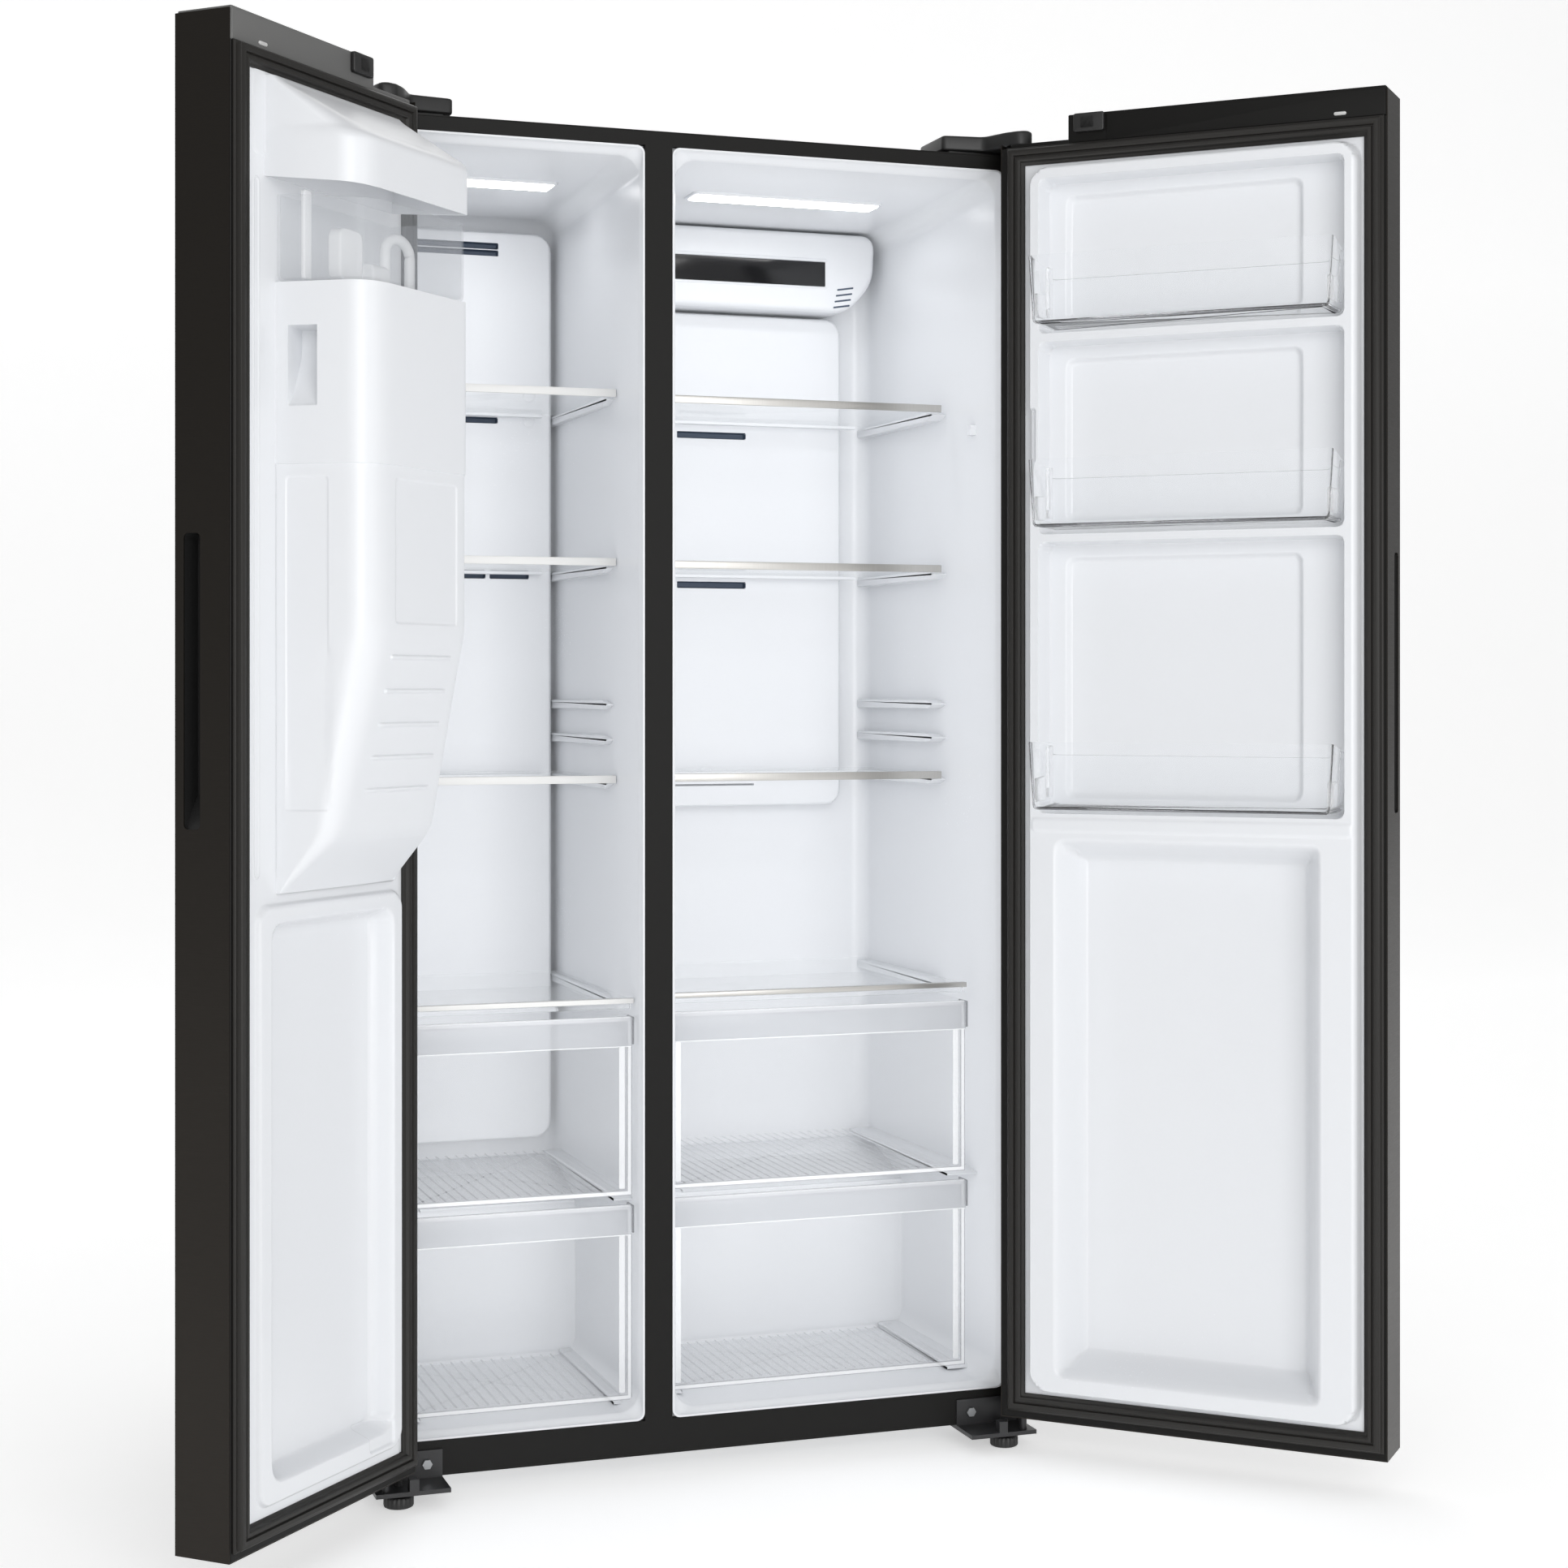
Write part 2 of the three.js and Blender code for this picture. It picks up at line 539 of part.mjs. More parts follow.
// The plastic cap along a door's top, stepped down where the hinge arm reaches over it.
function topCap(door) {
  const { side } = door;
  const { top, inner, sheet } = DOOR;
  const block = prismZ(doorPlan(door, sheet + GAP, inner), GASKET.top, top);
  const stopBlock = box(side * 84, side * 124, inner - 1, inner + 6, top - 24, top);
  const pinHole = cylinder("z", 0, 0, GASKET.top, HINGE.pinRadius + 1, 30, 16);
  return block.subtract(hingeStep(side)).subtract(pinHole).add(stopBlock);
}

// A finger pocket let into the free edge of the door.
function gripPocket(door) {
  const { side, width } = door;
  const end = width - DOOR.sheet - GAP;
  const outline = (by) =>
    roundedShape(GRIP.outer - by, GRIP.inner + by, GRIP.bottom - by, GRIP.top + by, 6 + by);
  const shell = (by, s0, s1) => prismX(outline(by), side * s0, side * s1);
  const cup = shell(2, width - GRIP.reach - 2, end).subtract(shell(0, width - GRIP.reach, end + 3));
  const ramp = prismY(polygon([
    [side * (width - GRIP.reach - 1), GRIP.bottom - 1],
    [side * (end - 1), GRIP.bottom - 1],
    [side * (width - GRIP.reach - 1), GRIP.bottom + 40],
  ]), GRIP.outer, GRIP.inner);
  return cup.add(ramp);
}

// ---------------------------------------------------------------- ice and water, in the left door's frame
// Plan outline of the housing: drafted sides and a large round corner on the free side.
function housingPlan(by = 0, yBack = DOOR.inner + GAP, near = HOUSING.near, far = HOUSING.far) {
  const depth = HOUSING.depth - by;
  const shape = new THREE.Shape();
  shape.moveTo(near + by, yBack);
  shape.lineTo(far - by, yBack);
  shape.lineTo(far - 16 - by, depth - 34);
  shape.quadraticCurveTo(far - 20 - by, depth, far - 58 - by, depth);
  shape.lineTo(near + 16 + by, depth);
  shape.quadraticCurveTo(near + 10 + by, depth, near + 9 + by, depth - 7);
  return shape;
}

function iceHood() {
  const back = DOOR.inner + GAP;
  const side = polygon([
    [back, HOOD.bottom], [HOUSING.depth + 1, HOOD.frontBottom], [HOUSING.depth + 1, HOOD.front - 1],
    [HOUSING.depth - 6, HOOD.front + 6], [back + 3, HOOD.top - 4], [back, HOOD.top - 8],
  ]);
  const inner = polygon([
    [back - 1, HOOD.bottom - 5], [HOUSING.depth - 3, HOOD.frontBottom - 5],
    [HOUSING.depth - 3, HOOD.front - 4], [back + 3, HOOD.top - 14], [back - 1, HOOD.top - 14],
  ]);
  const outside = prismZ(housingPlan(0, back, 36, 302), HOOD.frontBottom - 2, HOOD.top, 6);
  const inside = prismZ(housingPlan(3, back - 2, 36, 302), HOOD.frontBottom - 8, HOOD.top, 6);
  return outside.intersect(prismX(side, 0, 340)).subtract(inside.intersect(prismX(inner, 0, 340)));
}

function iceContainer() {
  const back = DOOR.inner + 2;
  const outside = prismZ(housingPlan(2, back), ICE_BIN.bottom, ICE_BIN.top - 8, 6);
  const inside = prismZ(housingPlan(4.5, back + 2.5), ICE_BIN.bottom + 2.5, ICE_BIN.top, 6);
  const slope = polygon([
    [back - 2, HOOD.bottom - 10], [HOUSING.depth + 2, HOOD.frontBottom - 10],
    [HOUSING.depth + 2, HOOD.top], [back - 2, HOOD.top],
  ]);
  const chute = box(130, 180, 60, 100, ICE_BIN.bottom - 1, ICE_BIN.bottom + 4);
  return outside.subtract(inside).subtract(prismX(slope, 0, 340)).subtract(chute);
}

function iceHousing() {
  const back = DOOR.inner + GAP;
  const { depth, slopeTop, slopeEnd, bottom } = HOUSING;
  const top = ICE_BIN.bottom - GAP;
  const side = (by) => polygon([
    [back - by, bottom + by], [84, slopeEnd - 38 + by], [100 - by, slopeEnd + by],
    [depth - by, slopeTop], [depth - by, top - by], [back - by, top - by],
  ]);
  const outside = prismZ(housingPlan(), bottom - 1, top + 1, 6).intersect(prismX(side(0), 0, 340));
  const inside = prismZ(housingPlan(3, back - 3), bottom - 1, top + 1, 6).intersect(prismX(side(3), 0, 340));
  const pocketBlock = box(232, 285, 42, 92, 1331, 1440).intersect(outside);
  const pocket = box(242, 300, 48, 84, 1341, 1433);
  const chute = box(130, 180, 60, 100, top - 6, top + 2);
  return outside.subtract(inside).add(pocketBlock).subtract(pocket).subtract(chute);
}

function dispenserNiche() {
  const wall = 2.5;
  const face = DOOR.outer + 0.2;
  const { near, far, bottom, top, depth } = NICHE;
  const cup = box(near + GAP, far - GAP, face, depth, bottom + GAP, top - GAP);
  const hollow = box(near + wall, far - wall, face - 1, depth - wall, bottom + wall + 6, top - wall);
  const outlet = cylinder("z", 155, 50, top - 2, 16, 12, 20);
  const ears = [144, 166].map((s) => box(s - 2, s + 2, 14, 28, top - 40, top - wall));
  return cup.subtract(hollow).subtract(outlet).add(joined(ears));
}

function dispenserPaddle() {
  const pivotZ = NICHE.top - 32;
  const plate = box(148, 162, 18, 22, NICHE.top - 150, pivotZ);
  const pad = box(132, 178, 16, 22, NICHE.top - 205, NICHE.top - 140);
  const hub = cylinder("x", 155, 21, pivotZ, 5, 17, 14);
  return joined([plate, pad, hub]);
}

function dispenserPanel() {
  return box(NICHE.near, NICHE.far, DOOR.outer - 1.8, DOOR.outer - GAP, NICHE.top + 8, NICHE.top + 78);
}

// ---------------------------------------------------------------- door bins, in the right door's frame
function doorBin(bottom) {
  const { near, far, front, height, wall } = BIN;
  const back = 18;
  const x = (s) => RIGHT_DOOR.side * s;
  const plan = (by) => {
    const shape = new THREE.Shape();
    shape.moveTo(x(near + by), back + by);
    shape.lineTo(x(near + by), front - 8);
    shape.quadraticCurveTo(x(near + by), front - by, x(near + 8), front - by);
    shape.lineTo(x(far - 8), front - by);
    shape.quadraticCurveTo(x(far - by), front - by, x(far - by), front - 8);
    shape.lineTo(x(far - by), back + by);
    return shape;
  };
  const top = bottom + height;
  const outside = prismZ(plan(0), bottom, top, 3);
  const inside = prismZ(plan(wall), bottom + wall, top + 1, 3);
  const lowBack = box(x(near + 30), x(far - 30), back - 1, back + wall + 1, bottom + 60, top + 1);
  return outside.subtract(inside).subtract(lowBack);
}

// ---------------------------------------------------------------- small cabinet pieces
function doorSwitch() {
  const button = box(405, 420, 74, 86, 1372, 1386);
  const collar = box(418, 420, 72, 88, 1370, 1388);
  return button.add(collar);
}

function powerInlet() {
  const body = box(372, 412, MACHINE.back + 1.8, MACHINE.back + 16, 180, 208);
  const socket = box(378, 406, MACHINE.back + 6, MACHINE.back + 20, 185, 203);
  const pinBack = MACHINE.back + 4;
  const pins = [384, 392, 400].map((x) => box(x - 1.5, x + 1.5, pinBack, pinBack + 10, 191, 196));
  return body.subtract(socket).add(joined(pins));
}

function waterValve() {
  const block = box(-436, -396, MACHINE.back + 1.8, MACHINE.back + 26, 110, 150);
  const spigot = cylinder("z", -416, MACHINE.back + 14, 98, 7, 30, 16);
  return block.add(spigot);
}

// ---------------------------------------------------------------- assembly
part("cabinet_shell", cabinetShell(), framePaint);
part("front_frame", frontFrame(), framePaint);
part("freezer_liner", liner(FREEZER), whitePlastic);
part("fridge_liner", liner(FRIDGE), whitePlastic);
part("cabinet_foam", cabinetFoam(), foamYellow);
part("back_panel", backPanel(), zincSteel);
part("base_tray", baseTray(), zincSteel);
part("rear_cover", rearCover(), enamelBlack);
part("compressor", compressor(), enamelBlack);
part("condenser_coil", finnedCoil(-370, -90, 420, 520, 62, 200, 3, 5), enamelBlack);
part("condenser_fan", fan("x", 92, 466, 132, 66, 5), blackPlastic);
part("evaporator_coil", finnedCoil(-370, -120, 440, 472, 700, 980, 4, 4), zincSteel);
part("evaporator_fan", fan("y", -245, 456, 1290, 52, 5), whitePlastic);
part("freezer_duct_panel", freezerDuctPanel(), whitePlastic);
part("fridge_duct_panel", fridgeDuctPanel(), whitePlastic);
part("fridge_air_hood", fridgeAirHood(), whitePlastic);
part("freezer_lamp_cover", ceilingLamp(-300, -155), lightCover);
part("fridge_lamp_cover", ceilingLamp(48, 318), lightCover);
SHELF_HEIGHTS.forEach((height, i) => {
  part("freezer_shelf_" + (i + 1), shelf(FREEZER, height, FREEZER.shelfFront, FREEZER.shelf), shelfGlass);
  part("fridge_shelf_" + (i + 1), shelf(FRIDGE, height, FRIDGE.shelfFront, FRIDGE.shelf), shelfGlass);
});
part("freezer_drawer_cover", coverShelf(FREEZER, -403, -91), shelfGlass);
part("fridge_drawer_cover", coverShelf(FRIDGE, -36, 397), shelfGlass);
part("freezer_drawer_upper", drawer(DRAWER.freezer, FREEZER.drawerFront, 420, DRAWER.upper), clearPlastic);
part("freezer_drawer_lower", drawer(DRAWER.freezer, FREEZER.drawerFront, 320, DRAWER.lower), clearPlastic);
part("fridge_drawer_upper", drawer(DRAWER.fridge, FRIDGE.drawerFront, 455, DRAWER.upper), clearPlastic);
part("fridge_drawer_lower", drawer(DRAWER.fridge, FRIDGE.drawerFront, 320, DRAWER.lower), clearPlastic);
for (const [name, side] of [["left", -1], ["right", 1]]) {
  part(name + "_upper_hinge", upperHinge(side), blackPlastic);
  part(name + "_lower_hinge", lowerHinge(side), zincSteel);
  part(name + "_levelling_foot", levellingFoot(side), blackPlastic);
  part(name + "_rear_roller", rearRoller(side * 360), blackPlastic);
}
part("door_switch", doorSwitch(), whitePlastic);
part("power_inlet", powerInlet(), blackPlastic);
part("water_valve", waterValve(), whitePlastic);

const leftDoor = new THREE.Group();
leftDoor.position.set(-HINGE.x, HINGE.y, 0);
leftDoor.rotation.z = THREE.MathUtils.degToRad(-LEFT_DOOR.open);
part("left_door_skin", doorSkin(LEFT_DOOR), darkSteel, leftDoor);
part("left_door_liner", leftDoorLiner(), whitePlastic, leftDoor);
part("left_door_gasket", gasket(LEFT_DOOR), gasketRubber, leftDoor);
part("left_door_top_cap", topCap(LEFT_DOOR), framePaint, leftDoor);
part("left_grip_pocket", gripPocket(LEFT_DOOR), blackPlastic, leftDoor);
part("ice_hood", iceHood(), whitePlastic, leftDoor);
part("ice_container", iceContainer(), clearPlastic, leftDoor);
part("ice_housing", iceHousing(), whitePlastic, leftDoor);
part("dispenser_niche", dispenserNiche(), blackPlastic, leftDoor);
part("dispenser_paddle", dispenserPaddle(), blackPlastic, leftDoor);
part("dispenser_panel", dispenserPanel(), enamelBlack, leftDoor);

const rightDoor = new THREE.Group();
rightDoor.position.set(HINGE.x, HINGE.y, 0);
rightDoor.rotation.z = THREE.MathUtils.degToRad(RIGHT_DOOR.open);
part("right_door_skin", doorSkin(RIGHT_DOOR), darkSteel, rightDoor);
part("right_door_liner", rightDoorLiner(), whitePlastic, rightDoor);
part("right_door_gasket", gasket(RIGHT_DOOR), gasketRubber, rightDoor);
part("right_door_top_cap", topCap(RIGHT_DOOR), framePaint, rightDoor);
part("right_grip_pocket", gripPocket(RIGHT_DOOR), blackPlastic, rightDoor);
BIN.bottoms.forEach((bottom, i) => {
  part("right_door_bin_" + (i + 1), doorBin(bottom), clearPlastic, rightDoor);
});
product.add(leftDoor, rightDoor);

// Stand the origin on the floor below the middle of the bounding box.
product.updateMatrixWorld(true);
const bounds = new THREE.Box3().setFromObject(product, true);
product.position.set(-(bounds.min.x + bounds.max.x) / 2, -(bounds.min.y + bounds.max.y) / 2, 0);

export default product;
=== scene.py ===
"""A side by side refrigerator with open doors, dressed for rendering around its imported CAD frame.

Sizes are in millimetres in the cabinet's own frame until they reach a mesh: X to the right, Y into the
cabinet from the plane of its front frame, Z up from the floor. A door's pieces are worked out in the
closed door's frame (s from the hinge axis to the free edge, y into the cabinet, z up) and are then
carried to where the door stands.
"""
import json
import math

import bmesh
import bpy
import numpy as np
from bpy.props import FloatProperty, FloatVectorProperty, PointerProperty
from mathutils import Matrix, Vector


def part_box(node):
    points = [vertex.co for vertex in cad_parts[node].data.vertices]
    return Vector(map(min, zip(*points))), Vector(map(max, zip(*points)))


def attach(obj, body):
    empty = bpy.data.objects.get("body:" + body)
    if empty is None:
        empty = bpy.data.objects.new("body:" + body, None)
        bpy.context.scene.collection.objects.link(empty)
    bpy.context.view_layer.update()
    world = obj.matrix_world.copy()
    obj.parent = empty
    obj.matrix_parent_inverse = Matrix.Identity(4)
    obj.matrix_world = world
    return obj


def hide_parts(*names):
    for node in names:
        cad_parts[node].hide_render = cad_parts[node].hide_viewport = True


bl_info = {
    "name": "Side by Side Refrigerator",
    "version": (1, 0, 0),
    "blender": (4, 5, 0),
    "location": "View3D > Sidebar > Fridge",
    "description": "Builds the visible pieces of a side by side refrigerator on its packed frame",
    "category": "Object",
}

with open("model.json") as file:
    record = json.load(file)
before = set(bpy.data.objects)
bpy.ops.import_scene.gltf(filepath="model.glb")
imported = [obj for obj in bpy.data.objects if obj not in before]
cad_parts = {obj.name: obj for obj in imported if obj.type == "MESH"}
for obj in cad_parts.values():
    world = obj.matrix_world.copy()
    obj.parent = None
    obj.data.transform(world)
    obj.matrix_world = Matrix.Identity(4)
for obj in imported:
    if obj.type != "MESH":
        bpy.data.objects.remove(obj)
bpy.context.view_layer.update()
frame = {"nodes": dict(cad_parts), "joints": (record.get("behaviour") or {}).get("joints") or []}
MM = 1000.0

# ------------------------------------------------------------------ places and sizes read from the frame
_shell_lo, _shell_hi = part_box("cabinet_shell")
ORIGIN = np.array([(_shell_lo.x + _shell_hi.x) / 2, _shell_lo.y, 0.0]) * MM
JOINTS = {joint["name"]: joint for joint in frame["joints"]}


class Place:
    """A local frame in millimetres: a hinge point, a turn about Z and, for a right hand door, a mirror."""

    def __init__(self, pivot=(0.0, 0.0), degrees=0.0, mirrored=False):
        turn = math.radians(degrees)
        self.pivot = np.array(pivot)
        self.turn = np.array([[math.cos(turn), math.sin(turn)], [-math.sin(turn), math.cos(turn)]])
        self.mirrored = mirrored

    def to_metres(self, points):
        """Local points (s, y, z) as points of the scene in metres: mirror, turn, move, scale."""
        local = np.array(points, float).reshape(-1, 3)
        if self.mirrored:
            local[:, 0] *= -1.0
        local[:, :2] = local[:, :2] @ self.turn + self.pivot
        return (local + ORIGIN) / MM

    def to_local(self, flat):
        """Flat coordinates in metres as local points (s, y, z): the same steps backwards."""
        local = flat.reshape(-1, 3) * MM - ORIGIN
        local[:, :2] = (local[:, :2] - self.pivot) @ self.turn.T
        if self.mirrored:
            local[:, 0] *= -1.0
        return local

    def span(self, node):
        """Lowest and highest local corner of a CAD node, in millimetres."""
        mesh = frame["nodes"][node].data
        flat = np.empty(len(mesh.vertices) * 3)
        mesh.vertices.foreach_get("co", flat)
        local = self.to_local(flat)
        return local.min(0), local.max(0)


def door_place(joint_name, mirrored):
    """The frame of a door: its pivot is the hinge point, and its turn is the whole range of its joint."""
    joint = JOINTS[joint_name]
    pivot = np.array(joint["pos_m"][:2]) * MM - ORIGIN[:2]
    opened = joint["axis"][2] * -joint["range_deg"][0]
    return Place(pivot, opened, mirrored)


CABINET = Place()
LEFT = door_place("left_door_hinge", False)
RIGHT = door_place("right_door_hinge", True)


# ------------------------------------------------------------------ curves and outlines
def smooth(value):
    """Zero below 0, one above 1, and 3t^2 - 2t^3 between, so both ends meet level."""
    t = np.clip(value, 0.0, 1.0)
    return t * t * (3.0 - 2.0 * t)


def rounded_rect(a0, a1, b0, b1, radius, steps=6):
    """A rectangle with quarter circles of the given radius at its corners, anticlockwise."""
    radius = min(radius, (a1 - a0) / 2 - 0.01, (b1 - b0) / 2 - 0.01)
    angle = np.linspace(0, math.pi / 2, steps + 1)
    right, left = a1 - radius, a0 + radius
    top, low = b1 - radius, b0 + radius
    arcs = []
    for quarter, (ca, cb) in enumerate([(right, low), (right, top), (left, top), (left, low)]):
        turn = angle + (quarter - 1) * math.pi / 2
        arcs.append(np.stack([ca + radius * np.cos(turn), cb + radius * np.sin(turn)], 1))
    return np.concatenate(arcs)


def soft_polygon(corners, radius, steps=4):
    """A polygon whose corners are cut by parabolas that start a radius away from each corner."""
    corners = np.array(corners, float)
    t = np.linspace(0, 1, steps + 1)[:, None]
    parts = []
    for i, corner in enumerate(corners):
        before = corners[i - 1] - corner
        after = corners[(i + 1) % len(corners)] - corner
        start = corner + before * min(0.49, radius / np.linalg.norm(before))
        end = corner + after * min(0.49, radius / np.linalg.norm(after))
        parts.append((1 - t) ** 2 * start + 2 * t * (1 - t) * corner + t * t * end)
    return np.concatenate(parts)


def inset(outline, by):
    """Each point of a closed outline moved inwards along the mean of its two edge normals."""
    edge = np.roll(outline, -1, 0) - outline
    normal = np.stack([-edge[:, 1], edge[:, 0]], 1)
    normal /= np.maximum(np.linalg.norm(normal, axis=1, keepdims=True), 1e-9)
    mean = normal + np.roll(normal, 1, 0)
    mean /= np.maximum((mean * mean).sum(1, keepdims=True) / 2, 0.35)
    x, y = outline[:, 0], outline[:, 1]
    area = (x * np.roll(y, -1) - np.roll(x, -1) * y).sum()
    return outline + mean * np.reshape(by, (-1, 1)) * (1 if area > 0 else -1)


def rect_distance(a, b, a0, a1, b0, b1, radius):
    """Signed distance to a rounded rectangle, below zero inside: the way to its inner box less radius."""
    da = np.abs(a - (a0 + a1) / 2) - (a1 - a0) / 2 + radius
    db = np.abs(b - (b0 + b1) / 2) - (b1 - b0) / 2 + radius
    outside = np.hypot(np.maximum(da, 0), np.maximum(db, 0))
    return outside + np.minimum(np.maximum(da, db), 0) - radius


def sunk(distance, depth, slope):
    """A hollow of a depth inside a distance field, whose wall is an S curve over the width slope."""
    return -depth * smooth(-distance / slope)


def grid_lines(low, high, edges, step, fine=(0.0, 0.8, 1.7, 3.0, 5.0, 8.0, 12.0, 17.0, 23.0, 30.0)):
    """Lines from low to high: an even spacing, with closer lines on both sides of each edge."""
    even = np.linspace(low, high, max(2, int((high - low) / step) + 1))
    close = np.add.outer(np.array(edges, float), np.concatenate([fine, -np.array(fine)])).ravel()
    every = np.unique(np.round(np.concatenate([even, close[(close > low) & (close < high)]]), 2))
    keep = np.concatenate([[True], np.diff(every) > 0.35])
    keep[-1] = True
    return every[keep]


# ------------------------------------------------------------------ shells
# A shell is its points in mm, the corners of its faces as one row of point numbers, and each face's number
# of corners.
AXES = {"x": (1, 2, 0), "y": (0, 2, 1), "z": (0, 1, 2)}


def along(axis, outline, height):
    """An outline in the two other axes, placed at a height along an axis. The height may vary by point."""
    loop = np.empty((len(outline), 3))
    first, second, third = AXES[axis]
    loop[:, first], loop[:, second] = outline[:, 0], outline[:, 1]
    loop[:, third] = height
    return loop


def stack(loops, capped=True):
    """A skin over closed loops of equally many points, with a flat face on the first and last loop."""
    loops = np.array(loops, float)
    rows, count = loops.shape[:2]
    ids = np.arange(rows * count).reshape(rows, count)
    right = np.roll(ids, -1, 1)
    quads = np.stack([ids[:-1], right[:-1], right[1:], ids[1:]], -1).reshape(-1, 4)
    corners, sizes = quads.ravel(), np.full(len(quads), 4)
    if capped:
        corners = np.concatenate([corners, ids[0][::-1], ids[-1]])
        sizes = np.append(sizes, [count, count])
    return loops.reshape(-1, 3), corners, sizes


def prism(axis, outline, start, end, edge=1.0, steps=3):
    """An outline carried along an axis, its ends rounded by inset edge(1 - sin a), depth edge(1 - cos a)."""
    low, high = [], []
    for turn in np.linspace(0, math.pi / 2, steps + 1):
        ring, depth = inset(outline, edge * (1 - math.sin(turn))), edge * (1 - math.cos(turn))
        low.append(along(axis, ring, start + depth))
        high.append(along(axis, ring, end - depth))
    return stack(low + high[::-1])


def block(low, high, radius=2.0, edge=1.0, axis="y", steps=4):
    """A box with rounded corners seen along an axis and rounded edges at its two ends."""
    first, second, third = AXES[axis]
    radius = max(radius, edge * 1.2)
    outline = rounded_rect(low[first], high[first], low[second], high[second], radius, steps)
    return prism(axis, outline, low[third], high[third], edge)


def vessel(axis, outline, profile, slant=None):
    """A cup: loops of one outline along a profile of (inset, height), from outer base to inner base."""
    loops = []
    for by, height in profile:
        loop = inset(outline, by)
        level = height if slant is None else height + slant(loop, height)
        loops.append(along(axis, loop, level))
    return stack(loops)


def relief(axis, a_lines, b_lines, height, back):
    """A sheet over a grid: its front is the surface height(a, b), its rear is back, a number or a surface."""
    a, b = np.meshgrid(a_lines, b_lines, indexing="ij")
    first, second, third = AXES[axis]
    front = np.empty((a.size, 3))
    front[:, first], front[:, second], front[:, third] = a.ravel(), b.ravel(), height(a, b).ravel()
    rear = front.copy()
    rear[:, third] = back(a, b).ravel() if callable(back) else back
    ids = np.arange(a.size).reshape(a.shape)
    quads = np.stack([ids[:-1, :-1], ids[1:, :-1], ids[1:, 1:], ids[:-1, 1:]], -1).reshape(-1, 4)
    rim = np.concatenate([ids[:-1, 0], ids[-1, :-1], ids[:0:-1, -1], ids[0, :0:-1]])
    skirt = np.stack([rim, np.roll(rim, -1), np.roll(rim, -1) + a.size, rim + a.size], -1)
    quads = np.concatenate([quads, quads[:, ::-1] + a.size, skirt])
    return np.concatenate([front, rear]), quads.ravel(), np.full(len(quads), 4)


def frame_sweep(low, high, profile):
    """A closed profile of (inset, y) carried round a rectangle in (s, z), mitred at its four corners."""
    (s0, z0), (s1, z1) = low, high
    loops = []
    for by, y in profile + profile[:1]:
        s_low, s_high, z_low, z_high = s0 + by, s1 - by, z0 + by, z1 - by
        loops.append([(s_low, y, z_low), (s_high, y, z_low), (s_high, y, z_high), (s_low, y, z_high)])
    return stack(loops, capped=False)


def lathe(profile, centre, axis="z", sides=32, ripple=0.0, teeth=0):
    """A profile of (radius, height) turned round an axis. The widest rings add ripple cos(teeth * angle)."""
    angle = np.linspace(0, 2 * math.pi, sides, endpoint=False)
    widest = max(radius for radius, _ in profile)
    loops = []
    for radius, height in profile:
        swell = ripple if radius > widest - 0.01 else 0.0
        r = radius + swell * np.cos(teeth * angle)
        first, second, third = AXES[axis]
        loop = np.empty((sides, 3))
        loop[:, first] = centre[first] + r * np.cos(angle)
        loop[:, second] = centre[second] + r * np.sin(angle)
        loop[:, third] = centre[third] + height
        loops.append(loop)
    return stack(loops)


def tube(path, radius, sides=10):
    """A circle carried along a path of points, square to the path's direction at each one."""
    path = np.array(path, float)
    ahead = np.gradient(path, axis=0)
    ahead /= np.linalg.norm(ahead, axis=1, keepdims=True)
    side = np.cross(ahead, (0.13, 0.21, 0.97))
    side /= np.linalg.norm(side, axis=1, keepdims=True)
    up = np.cross(side, ahead)
    angle = np.linspace(0, 2 * math.pi, sides, endpoint=False)[None, :, None]
    loops = path[:, None] + radius * (np.cos(angle) * side[:, None] + np.sin(angle) * up[:, None])
    return stack(loops)


# ------------------------------------------------------------------ pieces
CLEAR_SLOTS = ("clear_plastic", "shelf_glass")
DOUBLES = 2e-6


def add_piece(name, shells, material, body, slot, replaces=(), place=CABINET, sharp=38, extra=(), pick=None):
    """One object from closed shells. It is placed, its doubles are merged and its faces are turned outwards.

    A function named pick says which faces, by their local middles, take the second finish.
    """
    points = np.concatenate([place.to_metres(shell[0]) for shell in shells])
    firsts = np.cumsum([0] + [len(shell[0]) for shell in shells])
    corners = np.concatenate([shell[1] + first for shell, first in zip(shells, firsts)])
    sizes = np.concatenate([shell[2] for shell in shells])
    mesh = bpy.data.meshes.new(name)
    mesh.vertices.add(len(points))
    mesh.vertices.foreach_set("co", points.ravel())
    mesh.loops.add(len(corners))
    mesh.loops.foreach_set("vertex_index", corners.astype(np.int32))
    mesh.polygons.add(len(sizes))
    mesh.polygons.foreach_set("loop_start", (np.cumsum(sizes) - sizes).astype(np.int32))
    mesh.update(calc_edges=True)
    work = bmesh.new()
    work.from_mesh(mesh)
    bmesh.ops.remove_doubles(work, verts=work.verts, dist=DOUBLES)
    bmesh.ops.recalc_face_normals(work, faces=work.faces)
    work.to_mesh(mesh)
    work.free()
    for finish in (material, *extra):
        mesh.materials.append(finish)
    if pick is not None:
        centres = np.empty(len(mesh.polygons) * 3)
        mesh.polygons.foreach_get("center", centres)
        mesh.polygons.foreach_set("material_index", pick(place.to_local(centres)).astype(np.int32))
    mesh.shade_smooth()
    mesh.set_sharp_from_angle(angle=math.radians(sharp))
    piece = bpy.data.objects.new(name, mesh)
    bpy.context.scene.collection.objects.link(piece)
    if slot in CLEAR_SLOTS:
        piece.visible_shadow = False
        piece.visible_diffuse = False
    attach(piece, body)
    if replaces:
        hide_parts(*replaces)

def dress(nodes, material):
    """Gives a finish to CAD nodes that are shown as they are."""
    for node in nodes:
        mesh = frame["nodes"][node].data
        mesh.materials.clear()
        mesh.materials.append(material)


